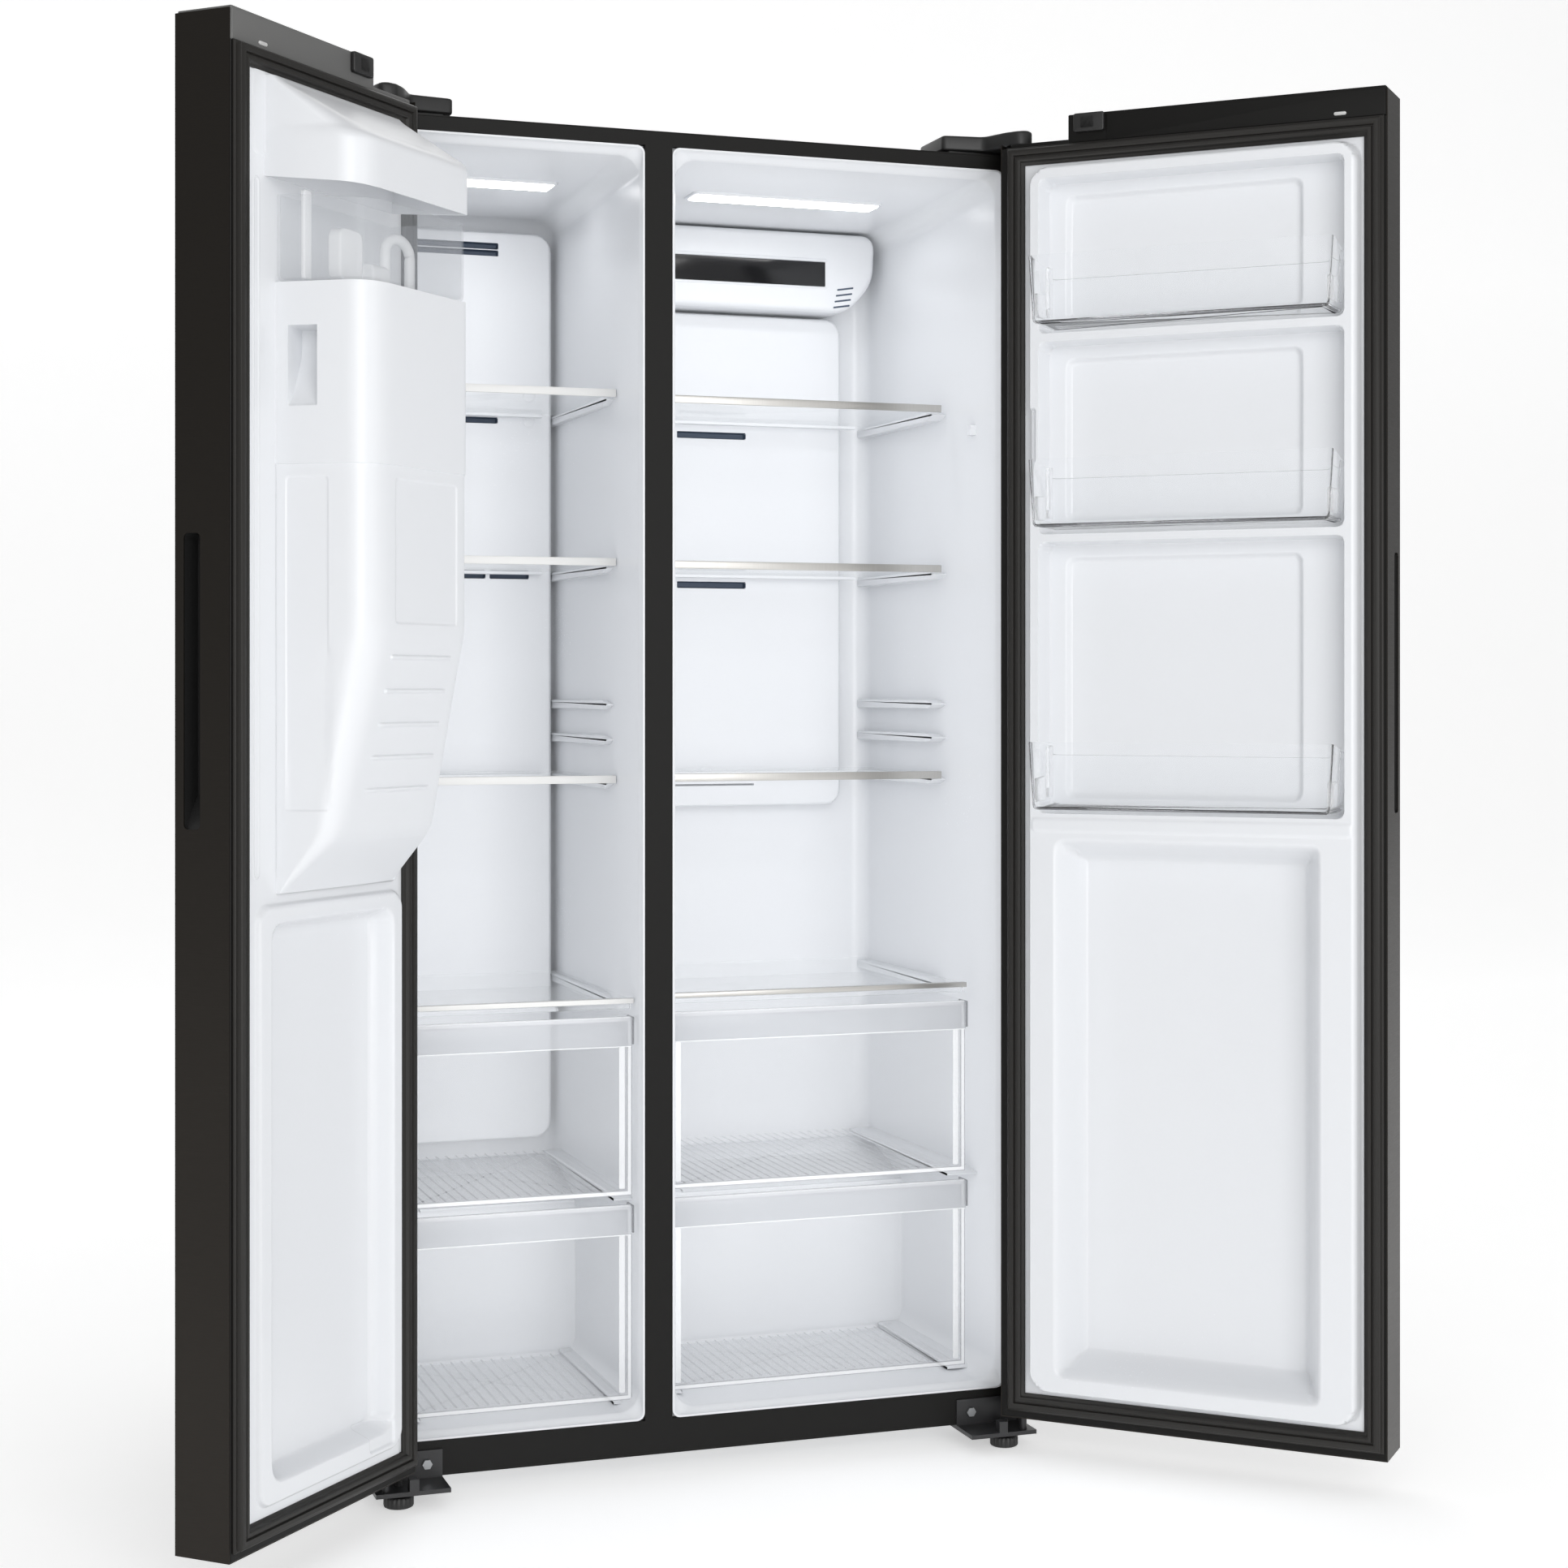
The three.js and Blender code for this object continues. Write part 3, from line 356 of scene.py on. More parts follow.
# ------------------------------------------------------------------ shader node groups
def socket_group(name, inputs, outputs):
    """An empty node group with the named sockets, and its two end nodes."""
    group = bpy.data.node_groups.new(name, "ShaderNodeTree")
    for label, kind, value in inputs:
        made = group.interface.new_socket(label, in_out="INPUT", socket_type=kind)
        made.default_value = value
    for label, kind in outputs:
        group.interface.new_socket(label, in_out="OUTPUT", socket_type=kind)
    enter = group.nodes.new("NodeGroupInput")
    leave = group.nodes.new("NodeGroupOutput")
    return group, enter, leave


def wire(group, pairs):
    """Links each pair of sockets."""
    for source, target in pairs:
        group.links.new(source, target)


def stretched_noise(group, enter, scale_socket, stretch, detail):
    """Noise over Object coordinates that are stretched by a vector first."""
    coords = group.nodes.new("ShaderNodeTexCoord")
    mapping = group.nodes.new("ShaderNodeMapping")
    mapping.inputs["Scale"].default_value = stretch
    noise = group.nodes.new("ShaderNodeTexNoise")
    noise.inputs["Detail"].default_value = detail
    noise.inputs["Roughness"].default_value = 0.6
    wire(group, [
        (coords.outputs["Object"], mapping.inputs["Vector"]),
        (mapping.outputs["Vector"], noise.inputs["Vector"]),
        (enter.outputs[scale_socket], noise.inputs["Scale"]),
    ])
    return noise.outputs["Fac"]


def math_node(group, kind, first, second):
    """One sum on two values, each a number or a socket."""
    node = group.nodes.new("ShaderNodeMath")
    node.operation = kind
    for socket, value in zip(node.inputs, (first, second)):
        if isinstance(value, (int, float)):
            socket.default_value = value
        else:
            group.links.new(value, socket)
    return node.outputs[0]


def colour_mix(group, factor, first, second):
    """first * (1 - factor) + second * factor."""
    node = group.nodes.new("ShaderNodeMix")
    node.data_type = "RGBA"
    group.links.new(factor, node.inputs["Factor"])
    group.links.new(first, node.inputs["A"])
    group.links.new(second, node.inputs["B"])
    return node.outputs["Result"]


def grain_group(name, stretch, detail):
    """Fine grain and slow clouds: 0.6 grain + 0.4 cloud drives colour and roughness, grain the height."""
    group, enter, leave = socket_group(
        name,
        [("Color", "NodeSocketColor", (0.5, 0.5, 0.5, 1)), ("Shade", "NodeSocketColor", (0.4, 0.4, 0.4, 1)),
         ("Scale", "NodeSocketFloat", 100.0), ("Roughness", "NodeSocketFloat", 0.4),
         ("Spread", "NodeSocketFloat", 0.1), ("Relief", "NodeSocketFloat", 0.1)],
        [("Color", "NodeSocketColor"), ("Roughness", "NodeSocketFloat"), ("Normal", "NodeSocketVector")],
    )
    grain = stretched_noise(group, enter, "Scale", stretch, detail)
    cloud = group.nodes.new("ShaderNodeTexNoise")
    cloud.inputs["Scale"].default_value = 3.0
    place = group.nodes.new("ShaderNodeTexCoord")
    group.links.new(place.outputs["Object"], cloud.inputs["Vector"])
    blend = math_node(group, "ADD", math_node(group, "MULTIPLY", grain, 0.6),
                      math_node(group, "MULTIPLY", cloud.outputs["Fac"], 0.4))
    swing = math_node(group, "MULTIPLY", math_node(group, "SUBTRACT", blend, 0.5), enter.outputs["Spread"])
    bump = group.nodes.new("ShaderNodeBump")
    bump.inputs["Distance"].default_value = 0.0004
    wire(group, [
        (colour_mix(group, blend, enter.outputs["Color"], enter.outputs["Shade"]), leave.inputs["Color"]),
        (math_node(group, "ADD", enter.outputs["Roughness"], swing), leave.inputs["Roughness"]),
        (grain, bump.inputs["Height"]),
        (enter.outputs["Relief"], bump.inputs["Strength"]),
        (bump.outputs["Normal"], leave.inputs["Normal"]),
    ])
    return group


GRAINS = {}


def grain_of(kind):
    """Moulded: even grain. Brushed: long level streaks. Upright: streaks that stand up."""
    stretches = {"moulded": ((1, 1, 1), 3.0), "brushed": ((0.012, 0.012, 1), 2.0),
                 "upright": ((1, 1, 0.02), 2.0)}
    if kind not in GRAINS:
        stretch, detail = stretches[kind]
        GRAINS[kind] = grain_group("Grain " + kind, stretch, detail)
    return GRAINS[kind]


MATERIALS = {}


def surface(name, color, shade, kind="moulded", scale=900.0, roughness=0.4, spread=0.1, relief_by=0.1,
            **fixed):
    """An opaque finish: a Principled shader fed by a grain group, with fixed values on its own sockets."""
    if name in MATERIALS:
        return MATERIALS[name]
    made = bpy.data.materials.new(name)
    made.use_nodes = True
    tree = made.node_tree
    shader = tree.nodes["Principled BSDF"]
    grain = tree.nodes.new("ShaderNodeGroup")
    grain.node_tree = grain_of(kind)
    grain.inputs["Color"].default_value = (*color, 1)
    grain.inputs["Shade"].default_value = (*shade, 1)
    for label, value in (("Scale", scale), ("Roughness", roughness), ("Spread", spread),
                         ("Relief", relief_by)):
        grain.inputs[label].default_value = value
    tree.links.new(grain.outputs["Color"], shader.inputs["Base Color"])
    tree.links.new(grain.outputs["Roughness"], shader.inputs["Roughness"])
    tree.links.new(grain.outputs["Normal"], shader.inputs["Normal"])
    for label, value in fixed.items():
        shader.inputs[label.replace("_", " ")].default_value = value
    MATERIALS[name] = made
    return made


def clear(name, color, roughness, ior, cover, alpha=1.0):
    """Clear plastic or glass, through which rays from lamps and from matt surfaces go straight.

    Cover is the share that scatters light instead of bending it, and alpha the share of all of it that shows.
    """
    if name in MATERIALS:
        return MATERIALS[name]
    made = bpy.data.materials.new(name)
    made.use_nodes = True
    tree = made.node_tree
    shader = tree.nodes["Principled BSDF"]
    shader.inputs["Base Color"].default_value = (*color, 1)
    shader.inputs["Roughness"].default_value = roughness
    shader.inputs["IOR"].default_value = ior
    shader.inputs["Transmission Weight"].default_value = 1.0 - cover
    shader.inputs["Alpha"].default_value = alpha
    path = tree.nodes.new("ShaderNodeLightPath")
    through = tree.nodes.new("ShaderNodeBsdfTransparent")
    through.inputs["Color"].default_value = (*[0.9 + c / 10 for c in color], 1)
    mix = tree.nodes.new("ShaderNodeMixShader")
    out = tree.nodes["Material Output"]
    either = tree.nodes.new("ShaderNodeMath")
    either.operation = "MAXIMUM"
    wire(tree, [
        (path.outputs["Is Shadow Ray"], either.inputs[0]),
        (path.outputs["Is Diffuse Ray"], either.inputs[1]),
        (either.outputs[0], mix.inputs["Fac"]),
        (shader.outputs["BSDF"], mix.inputs[1]),
        (through.outputs["BSDF"], mix.inputs[2]),
        (mix.outputs["Shader"], out.inputs["Surface"]),
    ])
    MATERIALS[name] = made
    return made


def glowing(name, color, strength):
    """A lit lamp cover: a plain moulded finish with an even glow."""
    if name in MATERIALS:
        return MATERIALS[name]
    made = surface(name, color, color, roughness=0.4, relief_by=0.02)
    shader = made.node_tree.nodes["Principled BSDF"]
    shader.inputs["Emission Color"].default_value = (*color, 1)
    shader.inputs["Emission Strength"].default_value = strength
    return made


def looks():
    """The colours and lights that a user may change."""
    return bpy.context.scene.fridge_looks


def size_of(name):
    """A size that a user may change, in millimetres."""
    return getattr(bpy.context.scene.fridge_sizes, name) * MM


def white_liner():
    """Moulded white of the compartments and the door faces."""
    color = tuple(looks().liner_color)
    return surface("Liner white", color, tuple(c * 0.97 for c in color), scale=260, roughness=0.26,
                   spread=0.08,
                   relief_by=0.02, Specular_IOR_Level=0.5)


def white_cover():
    """Slightly matt white of the covers."""
    color = tuple(looks().liner_color)
    return surface("Cover white", color, tuple(c * 0.98 for c in color), scale=1400, roughness=0.34,
                   spread=0.06,
                   relief_by=0.03)


def dark_steel():
    """Brushed dark steel of the doors."""
    color = tuple(looks().steel_color)
    return surface("Brushed dark steel", color, tuple(c * 0.72 for c in color), kind="brushed", scale=2600,
                   roughness=0.36, spread=0.22, relief_by=0.22, Metallic=0.85, Anisotropic=0.4)


def dark_paint():
    """Dark paint of the cabinet, its frame and the door folds."""
    color = tuple(looks().frame_color)
    return surface("Frame paint", color, tuple(c * 0.85 for c in color), scale=1500, roughness=0.5,
                   spread=0.1,
                   relief_by=0.08, Specular_IOR_Level=0.22)


def grey_cap():
    """Grey plastic of the freezer door's cap."""
    return surface("Cap grey", (0.15, 0.15, 0.147), (0.125, 0.125, 0.122), scale=1700, roughness=0.5,
                   relief_by=0.08)


def rubber():
    """Dark rubber of the door seals."""
    return surface("Gasket rubber", (0.018, 0.0165, 0.0145), (0.013, 0.012, 0.0105), scale=800, roughness=0.5,
                   spread=0.15, relief_by=0.05, Specular_IOR_Level=0.4)


def black_plastic():
    """Grained black plastic."""
    return surface("Black plastic", (0.012, 0.012, 0.012), (0.018, 0.018, 0.018), scale=1200, roughness=0.42,
                   relief_by=0.12)


def black_gloss():
    """Glossy black of the panels."""
    return surface("Black gloss", (0.008, 0.008, 0.009), (0.010, 0.010, 0.011), scale=300, roughness=0.12,
                   spread=0.04, relief_by=0.01)


def painted_vent_shade():
    """Painted shade on the bottoms of the air slots, standing in for the darkness deep in the vents."""
    return surface("Vent shade", (0.075, 0.105, 0.155), (0.05, 0.07, 0.11), scale=400, roughness=0.6)


def silver_trim():
    """Satin metal of the fridge's shelf trims."""
    return surface("Satin silver", (0.56, 0.55, 0.53), (0.44, 0.43, 0.41), kind="upright", scale=900,
                   roughness=0.3, spread=0.12, relief_by=0.06, Metallic=0.75)


def ivory_trim():
    """Ivory plastic of the freezer's shelf trims."""
    return surface("Ivory trim", (0.66, 0.66, 0.655), (0.60, 0.60, 0.59), scale=900, roughness=0.35)


def zinc():
    """Zinc plated steel."""
    return surface("Zinc plate", (0.42, 0.43, 0.44), (0.33, 0.34, 0.35), scale=60, roughness=0.42,
                   spread=0.25,
                   relief_by=0.05, Metallic=0.9)


def enamel():
    """Black enamel of the machine space."""
    return surface("Black enamel", (0.02, 0.02, 0.021), (0.028, 0.028, 0.03), scale=900, roughness=0.38,
                   relief_by=0.1)


def clear_plastic():
    """Water clear plastic of the door bins."""
    return clear("Clear plastic", (0.985, 0.99, 0.995), 0.015, 1.24, 0.03)


def drawer_plastic():
    """Faint walls of the drawers."""
    return clear("Drawer plastic", (0.60, 0.615, 0.64), 0.09, 1.45, 1.0, 0.08)


def bucket_plastic():
    """Tinted wall of the ice bucket."""
    return clear("Bucket plastic", (0.50, 0.52, 0.55), 0.06, 1.45, 1.0, 0.16)


def painted_edge_highlight():
    """Pale edges of the clear drawers: painted highlight for the light that clear edges catch."""
    return clear("Painted edge highlight", (0.93, 0.94, 0.955), 0.1, 1.45, 1.0, 0.42)


def painted_edge_shade():
    """Dark lines along those edges: painted shade for the dark lines that clear edges show."""
    return clear("Painted edge shade", (0.20, 0.21, 0.23), 0.1, 1.45, 1.0, 0.5)


def rib_plastic():
    """Pale ribs in the drawers' floors."""
    return clear("Drawer ribs", (0.62, 0.635, 0.66), 0.2, 1.45, 1.0, 0.22)


def band_plastic():
    """Frosted pull bands."""
    return clear("Band plastic", (0.44, 0.455, 0.48), 0.16, 1.45, 1.0, 0.46)


def frosted_plastic():
    """Frosted hooks of the door bins."""
    return clear("Frosted plastic", (0.97, 0.975, 0.985), 0.16, 1.3, 0.16)


def milky_plastic():
    """Milky parts in the ice bucket."""
    return clear("Milky plastic", (0.86, 0.87, 0.885), 0.3, 1.45, 1.0, 0.62)


def smoked_plastic_and_painted_shade():
    """Smoked plastic of the drawers' clips, and painted shade for the bins' dark foot lines."""
    return clear("Smoked plastic and painted shade", (0.20, 0.205, 0.22), 0.08, 1.45, 1.0, 0.62)


def shelf_glass():
    """Green tinted glass of the shelves."""
    return clear("Shelf glass", (0.84, 0.88, 0.885), 0.02, 1.5, 1.0, 0.15)


# ------------------------------------------------------------------ driving sizes of the pieces, in mm
# The compartments: depth of the mouth's bevel, corner radii at the mouth and inside, the fillet round the
# back wall, the step over the machine space, heights of the spare rails and a duct panel's skirt.
MOUTH_BEVEL = 16.0
MOUTH_CORNER = 8.0
CORNER = 28.0
BACK_FILLET = 24.0
HUMP = {"front": 335.0, "top": 300.0, "shoulder": 345.0}
EXTRA_RAILS = (1010.0, 962.0)
SKIRT = 0.6
# The shelves and drawers: how far a trim stands over its glass, and a pull band in front of its tub.
TRIM_LIP = 1.5
PULL_REACH = 10.0
# The doors, by depth from the hinge line: their inner face, its thickness, the least depth of its rear, and
# the room that it leaves round the dispenser's cup.
DOOR_FACE = 31.0
FACE_THICKNESS = 2.5
FACE_REAR = 29.0
CUP_ROOM = {"s": (75.0, 235.0), "z": (997.0, 1328.0), "rear": 81.0, "front": 84.0}
# The ice maker's body and its hood, from the hinge side (near) to the free side (far).
HOUSING = {"near": 40.0, "far": 281.0, "depth": 147.0, "back": 31.3}
HOOD = {"near": 36.0, "far": 302.0, "wall": 3.0, "reach": 115.0}
HOOD_LIP = {"base": 1600.0, "deep": 1588.0, "level": 1640.0, "fade": 40.0}


def compartment_back(node):
    """How deep a compartment's back wall stands."""
    return CABINET.span(node)[1][1] - size_of("liner_wall")


def liner_shells(node, insets, drafts):
    """A compartment: rounded rectangles from the mouth, over a bevel and drafted walls, to a filleted back.

    The bevel follows smooth(t) over its depth, and the fillet a quarter circle.
    """
    lo, hi = CABINET.span(node)
    wall = size_of("liner_wall")
    mouth = np.array([lo[0] + wall, hi[0] - wall, lo[2] + wall, hi[2] - wall])
    throat = mouth + np.array([insets[0], -insets[1], 6.7, -10.2])
    rear = throat + np.array([drafts[0], -drafts[1], 0.0, -10.0])
    back = compartment_back(node)
    inner = []
    for t in np.linspace(0, 1, 7):
        rect = mouth + (throat - mouth) * smooth(t)
        radius = MOUTH_CORNER + (CORNER - MOUTH_CORNER) * t
        inner.append((rect, lo[1] + 0.4 + t * (MOUTH_BEVEL - 0.4), radius))
    straight = back - BACK_FILLET
    share = (straight - MOUTH_BEVEL) / (back - MOUTH_BEVEL)
    inner.append((throat + (rear - throat) * share, straight, CORNER))
    for turn in np.linspace(0, math.pi / 2, 7)[1:]:
        by = BACK_FILLET * (1 - math.cos(turn))
        rect = throat + (rear - throat) * share + np.array([by, -by, by, -by])
        inner.append((rect, straight + BACK_FILLET * math.sin(turn), max(CORNER - by, 5)))
    loops = [along("y", rounded_rect(*rect, radius, 8), y) for rect, y, radius in inner[::-1]]
    grow = np.array([-wall, wall, -wall, wall])
    for rect, y, radius in (inner[0], inner[6], inner[7]):
        loops.append(along("y", rounded_rect(*(rect + grow), radius + wall, 8), y))
    loops.append(along("y", rounded_rect(*(rear + grow), CORNER, 8), back + wall))
    floor = throat[2]
    side = soft_polygon([(HUMP["front"], floor - 2), (HUMP["front"], HUMP["top"]),
                         (back + 1, HUMP["shoulder"]), (back + 1, floor - 2)], 18, 6)
    hump = prism("x", side, throat[0] - 1, throat[1] + 1, 0.5)
    return [stack(loops), hump], throat


def rail_shell(wall, reach, front, back, top, height=13.0):
    """A shelf rail on a side wall: a long bar seen from the side, whose front end is a blunt arrow."""
    side = [(front, top - 6), (front + 34, top), (back, top), (back, top - height),
            (front + 24, top - height)]
    outline = soft_polygon(side, 5, 3)
    x0, x1 = sorted((wall, wall + reach))
    return prism("x", outline, x0, x1, 2.2)


def room_rails(shelves, cover, room_left, room_right, reaches, front, back):
    """Rails under every shelf, the spare pairs, and the rails under each drawer cover."""
    heights = [CABINET.span(node)[1][2] - TRIM_LIP for node in shelves] + list(EXTRA_RAILS)
    heights.append(CABINET.span(cover)[1][2] - TRIM_LIP)
    shells = []
    for height in heights:
        top = height - size_of("glass") - 0.4
        shells.append(rail_shell(room_left, reaches[0], front + 16, back - 4, top))
        shells.append(rail_shell(room_right, -reaches[1], front + 16, back - 4, top))
    return shells


def duct_height(outline, front, back, edge, slots, rings=()):
    """Face of a duct panel: front + 3.5 smooth(1 + rim / edge)^2 inside its outline, the wall outside it.

    Each slot is sunk 9 mm into it, and each ring stands 0.7 mm out of it.
    """
    def height(x, z):
        rim = rect_distance(x, z, *outline, 24)
        face = np.where(rim > 0, back, front + 3.5 * smooth(1 + rim / edge) ** 2)
        for x0, x1, z0, z1, radius in slots:
            face = face - sunk(rect_distance(x, z, x0, x1, z0, z1, radius), 9.0, 1.6)
        for cx, cz, radius in rings:
            face = face + 0.7 * smooth(1 - np.abs(np.hypot(x - cx, z - cz) - radius) / 1.2)
        return face
    return height


def duct_shell(outline, front, back, slots, rings=()):
    """A duct panel as a sheet, with closer grid lines along its rim, slots and rings."""
    x0, x1, z0, z1 = outline
    fine = (0.0, 0.8, 1.7, 3.0, 5.5, 9.0)
    x_edges = [x0, x1, x0 + 12, x1 - 12] + [e for slot in slots for e in slot[:2]]
    z_edges = [z0, z1, z0 + 12, z1 - 12] + [e for slot in slots for e in slot[2:4]]
    for cx, cz, radius in rings:
        x_edges += [cx - radius, cx, cx + radius]
        z_edges += [cz - radius, cz, cz + radius]
    xs = grid_lines(x0 - 1, x1 + 1, x_edges, 22, fine)
    zs = grid_lines(z0 - 1, z1 + 1, z_edges, 30, fine)
    return relief("y", xs, zs, duct_height(outline, front, back, 5.0, slots, rings), back + SKIRT)


def inside_slots(front, low, high):
    """Picks the faces of a duct panel that lie deep in its slots, away from its rim: they take the painted
    vent shade.
    """
    middle, reach = (low[0] + high[0]) / 2, (high[0] - low[0]) / 2 - 9
    return lambda c: ((c[:, 1] > front + 1.6) & (np.abs(c[:, 0] - middle) < reach)
                      & (c[:, 2] > low[2] + 9) & (c[:, 2] < high[2] - 9))


# ------------------------------------------------------------------ builders, one for each group of pieces
def build_liners():
    """Both white compartments, with their rails. Insets, drafts and reaches are (left wall, right wall)."""
    for room, insets, drafts, reaches in (("freezer", (3.2, 1.2), (10.0, 2.0), (16, 11)),
                                          ("fridge", (5.2, 5.2), (2.0, 10.0), (10, 26))):
        node = room + "_liner"
        shells, (left, right, _, _) = liner_shells(node, insets, drafts)
        shelves = [f"{room}_shelf_{number}" for number in (1, 2, 3)]
        front = CABINET.span(shelves[0])[0][1]
        shells += room_rails(shelves, room + "_drawer_cover", left - 1, right + 1, reaches, front,
                             compartment_back(node))
        for level in ("upper", "lower"):
            lo, hi = CABINET.span(f"{room}_drawer_{level}")
            back = HUMP["front"] + 1 if hi[1] < HUMP["front"] else hi[1]
            shells.append(rail_shell(left - 1, lo[0] + 23 - left, lo[1] + 16, back, lo[2] - 0.4, 8))
            shells.append(rail_shell(right + 1, hi[0] - 23 - right, lo[1] + 16, back, lo[2] - 0.4, 8))
        add_piece(room + "_compartment", shells, white_liner(), "cabinet", "white_plastic", [node])


def build_ducts():
    """The panels in front of the air ducts and the hood over the fridge's upper shelf."""
    lo, hi = CABINET.span("freezer_duct_panel")
    slots = [(lo[0] + 92, hi[0] - 78, 1653, 1661.5, 2), (lo[0] + 92, hi[0] - 78, 1642.5, 1651, 2),
             (lo[0] + 92, hi[0] - 79, 1402, 1411, 2)]
    slots += [(x, x + 58, 1179, 1191, 2) for x in (-320, -256, -192)]
    rings = [(-133.5, 1443, 8.5), (-133.5, 1407, 8.5)]
    shell = duct_shell((lo[0], hi[0], lo[2], hi[2]), lo[1], compartment_back("freezer_liner") + 0.4, slots,
                       rings)
    # The faces deep in the slots are painted vent shade.
    add_piece("freezer_duct_cover", [shell], white_liner(), "cabinet", "white_plastic",
              ["freezer_duct_panel"], extra=[painted_vent_shade()], pick=inside_slots(lo[1], lo, hi))
    lo, hi = CABINET.span("fridge_duct_panel")
    back = compartment_back("fridge_liner")
    slots = [(94, 201, 1392, 1402, 2), (94, 201, 1170, 1180, 2), (2, 214, 877, 880, 1)]
    shell = duct_shell((lo[0], hi[0], lo[2], hi[2]), lo[1], back + 0.4, slots, [(139, 898, 9)])
    in_slots = inside_slots(lo[1], lo, hi)
    # The faces deep in the two upper slots are painted vent shade.
    add_piece("fridge_duct_cover", [shell], white_liner(), "cabinet", "white_plastic", ["fridge_duct_panel"],
              extra=[painted_vent_shade()], pick=lambda c: in_slots(c) & (c[:, 2] > 1000))
    lo, hi = CABINET.span("fridge_air_hood")
    outline = soft_polygon([(lo[0], lo[2]), (hi[0] - 44, lo[2]), (hi[0] - 3, lo[2] + 46), (hi[0], hi[2]),
                            (lo[0], hi[2])], 24, 6)
    body = prism("y", outline, lo[1], back + 0.5, 9.0, 5)
    lip = block((lo[0] + 6, lo[1] - 1.4, 1656.5), (314, lo[1] + 8, 1660.5), 1.5, 1.0)
    sill = block((lo[0] + 6, lo[1] - 1.2, 1616), (314, lo[1] + 8, 1619), 1.2, 0.9)
    add_piece("fridge_air_cover", [body, lip, sill], white_liner(), "cabinet", "white_plastic",
              ["fridge_air_hood"])
    strip = block((lo[0] + 8, lo[1] - 0.9, 1619.5), (311, lo[1] + 6, 1656), 1.2, 0.5)
    add_piece("fridge_display_strip", [strip], black_gloss(), "cabinet", "black_plastic")
    # Four dark slanted bars, barely proud of the hood: painted shade standing in for the hood's slanted air
    # slots.
    painted_slot_shade = []
    for row in range(4):
        z = 1590 + row * 8.5
        bar = block((324 + row * 2, lo[1] - 0.35, z), (350 + row * 2, lo[1] + 2, z + 2.6), 1.2, 0.3)
        bar[0][:, 2] += (bar[0][:, 0] - 337) * 0.16
        painted_slot_shade.append(bar)
    add_piece("fridge_hood_painted_slot_shade", painted_slot_shade, painted_vent_shade(), "cabinet", "black_plastic")


def build_lamps():
    """A glowing lens in each ceiling, with a white rim round it."""
    glow = glowing("Lamp glow", (1.0, 1.0, 1.0), looks().lamp_strength)
    for room in ("freezer", "fridge"):
        lo, hi = CABINET.span(room + "_lamp_cover")
        lens = block(lo, hi + np.array([0, 0, 2.0]), 4, 1.2, "z")
        add_piece(room + "_lamp_lens", [lens], glow, "cabinet", "light_cover", [room + "_lamp_cover"])
        rim_low, rim_high = lo + np.array([-5, -5, 1.6]), hi + np.array([5, 5, 3.0])
        outer = rounded_rect(rim_low[0], rim_high[0], rim_low[1], rim_high[1], 7)
        profile = [(0, rim_high[2]), (0, rim_low[2] + 0.5), (0.6, rim_low[2]), (4.2, rim_low[2]),
                   (4.6, rim_low[2] + 0.5), (4.6, rim_high[2])]
        ring = [along("z", inset(outer, by), z) for by, z in profile]
        add_piece(room + "_lamp_rim", [stack(ring + ring[:1], capped=False)], white_liner(), "cabinet",
                  "white_plastic")


def glass_pane(lo, hi):
    """A pane just inside the span of its shelf, with ground edges, a trim's lip below the shelf's top."""
    top = hi[2] - TRIM_LIP
    return block((lo[0] + 0.5, lo[1] + 3, top - size_of("glass")), (hi[0] - 0.5, hi[1] - 2, top), 5, 0.7, "z")


def shelf_pieces(node, trim, name):
    """A glass shelf: the pane, a front trim of satin metal or plastic round its edge, and a rear bar."""
    lo, hi = CABINET.span(node)
    z = hi[2] - TRIM_LIP
    under = z - size_of("glass")
    add_piece(name, [glass_pane(lo, hi)], shelf_glass(), node, "shelf_glass", [node])
    front, edge = lo[1], lo[1] + 12.0
    nose = soft_polygon([(front, lo[2]), (front, hi[2]), (edge, hi[2]), (edge, z + 0.2),
                         (front + 2.4, z + 0.2), (front + 2.4, under - 0.2), (edge - 2, under - 0.2),
                         (edge - 2, lo[2] + 1.5), (front + 3, lo[2])], 0.9, 2)
    add_piece(name + "_trim", [prism("x", nose, lo[0], hi[0], 0.6)], trim, node, "white_plastic")
    bar = soft_polygon([(hi[1] - 16, z - 9), (hi[1] - 16, under - 0.3), (hi[1] - 3, under - 0.3),
                        (hi[1] - 3, z - 9)], 1.2, 2)
    add_piece(name + "_rear_bar", [prism("x", bar, lo[0] + 12, hi[0] - 28, 0.8)], white_cover(), node,
              "white_plastic")


def build_shelves():
    """Six glass shelves, with ivory trims in the freezer and satin ones in the fridge."""
    for number in (1, 2, 3):
        shelf_pieces(f"freezer_shelf_{number}", ivory_trim(), f"freezer_glass_{number}")
        shelf_pieces(f"fridge_shelf_{number}", silver_trim(), f"fridge_glass_{number}")


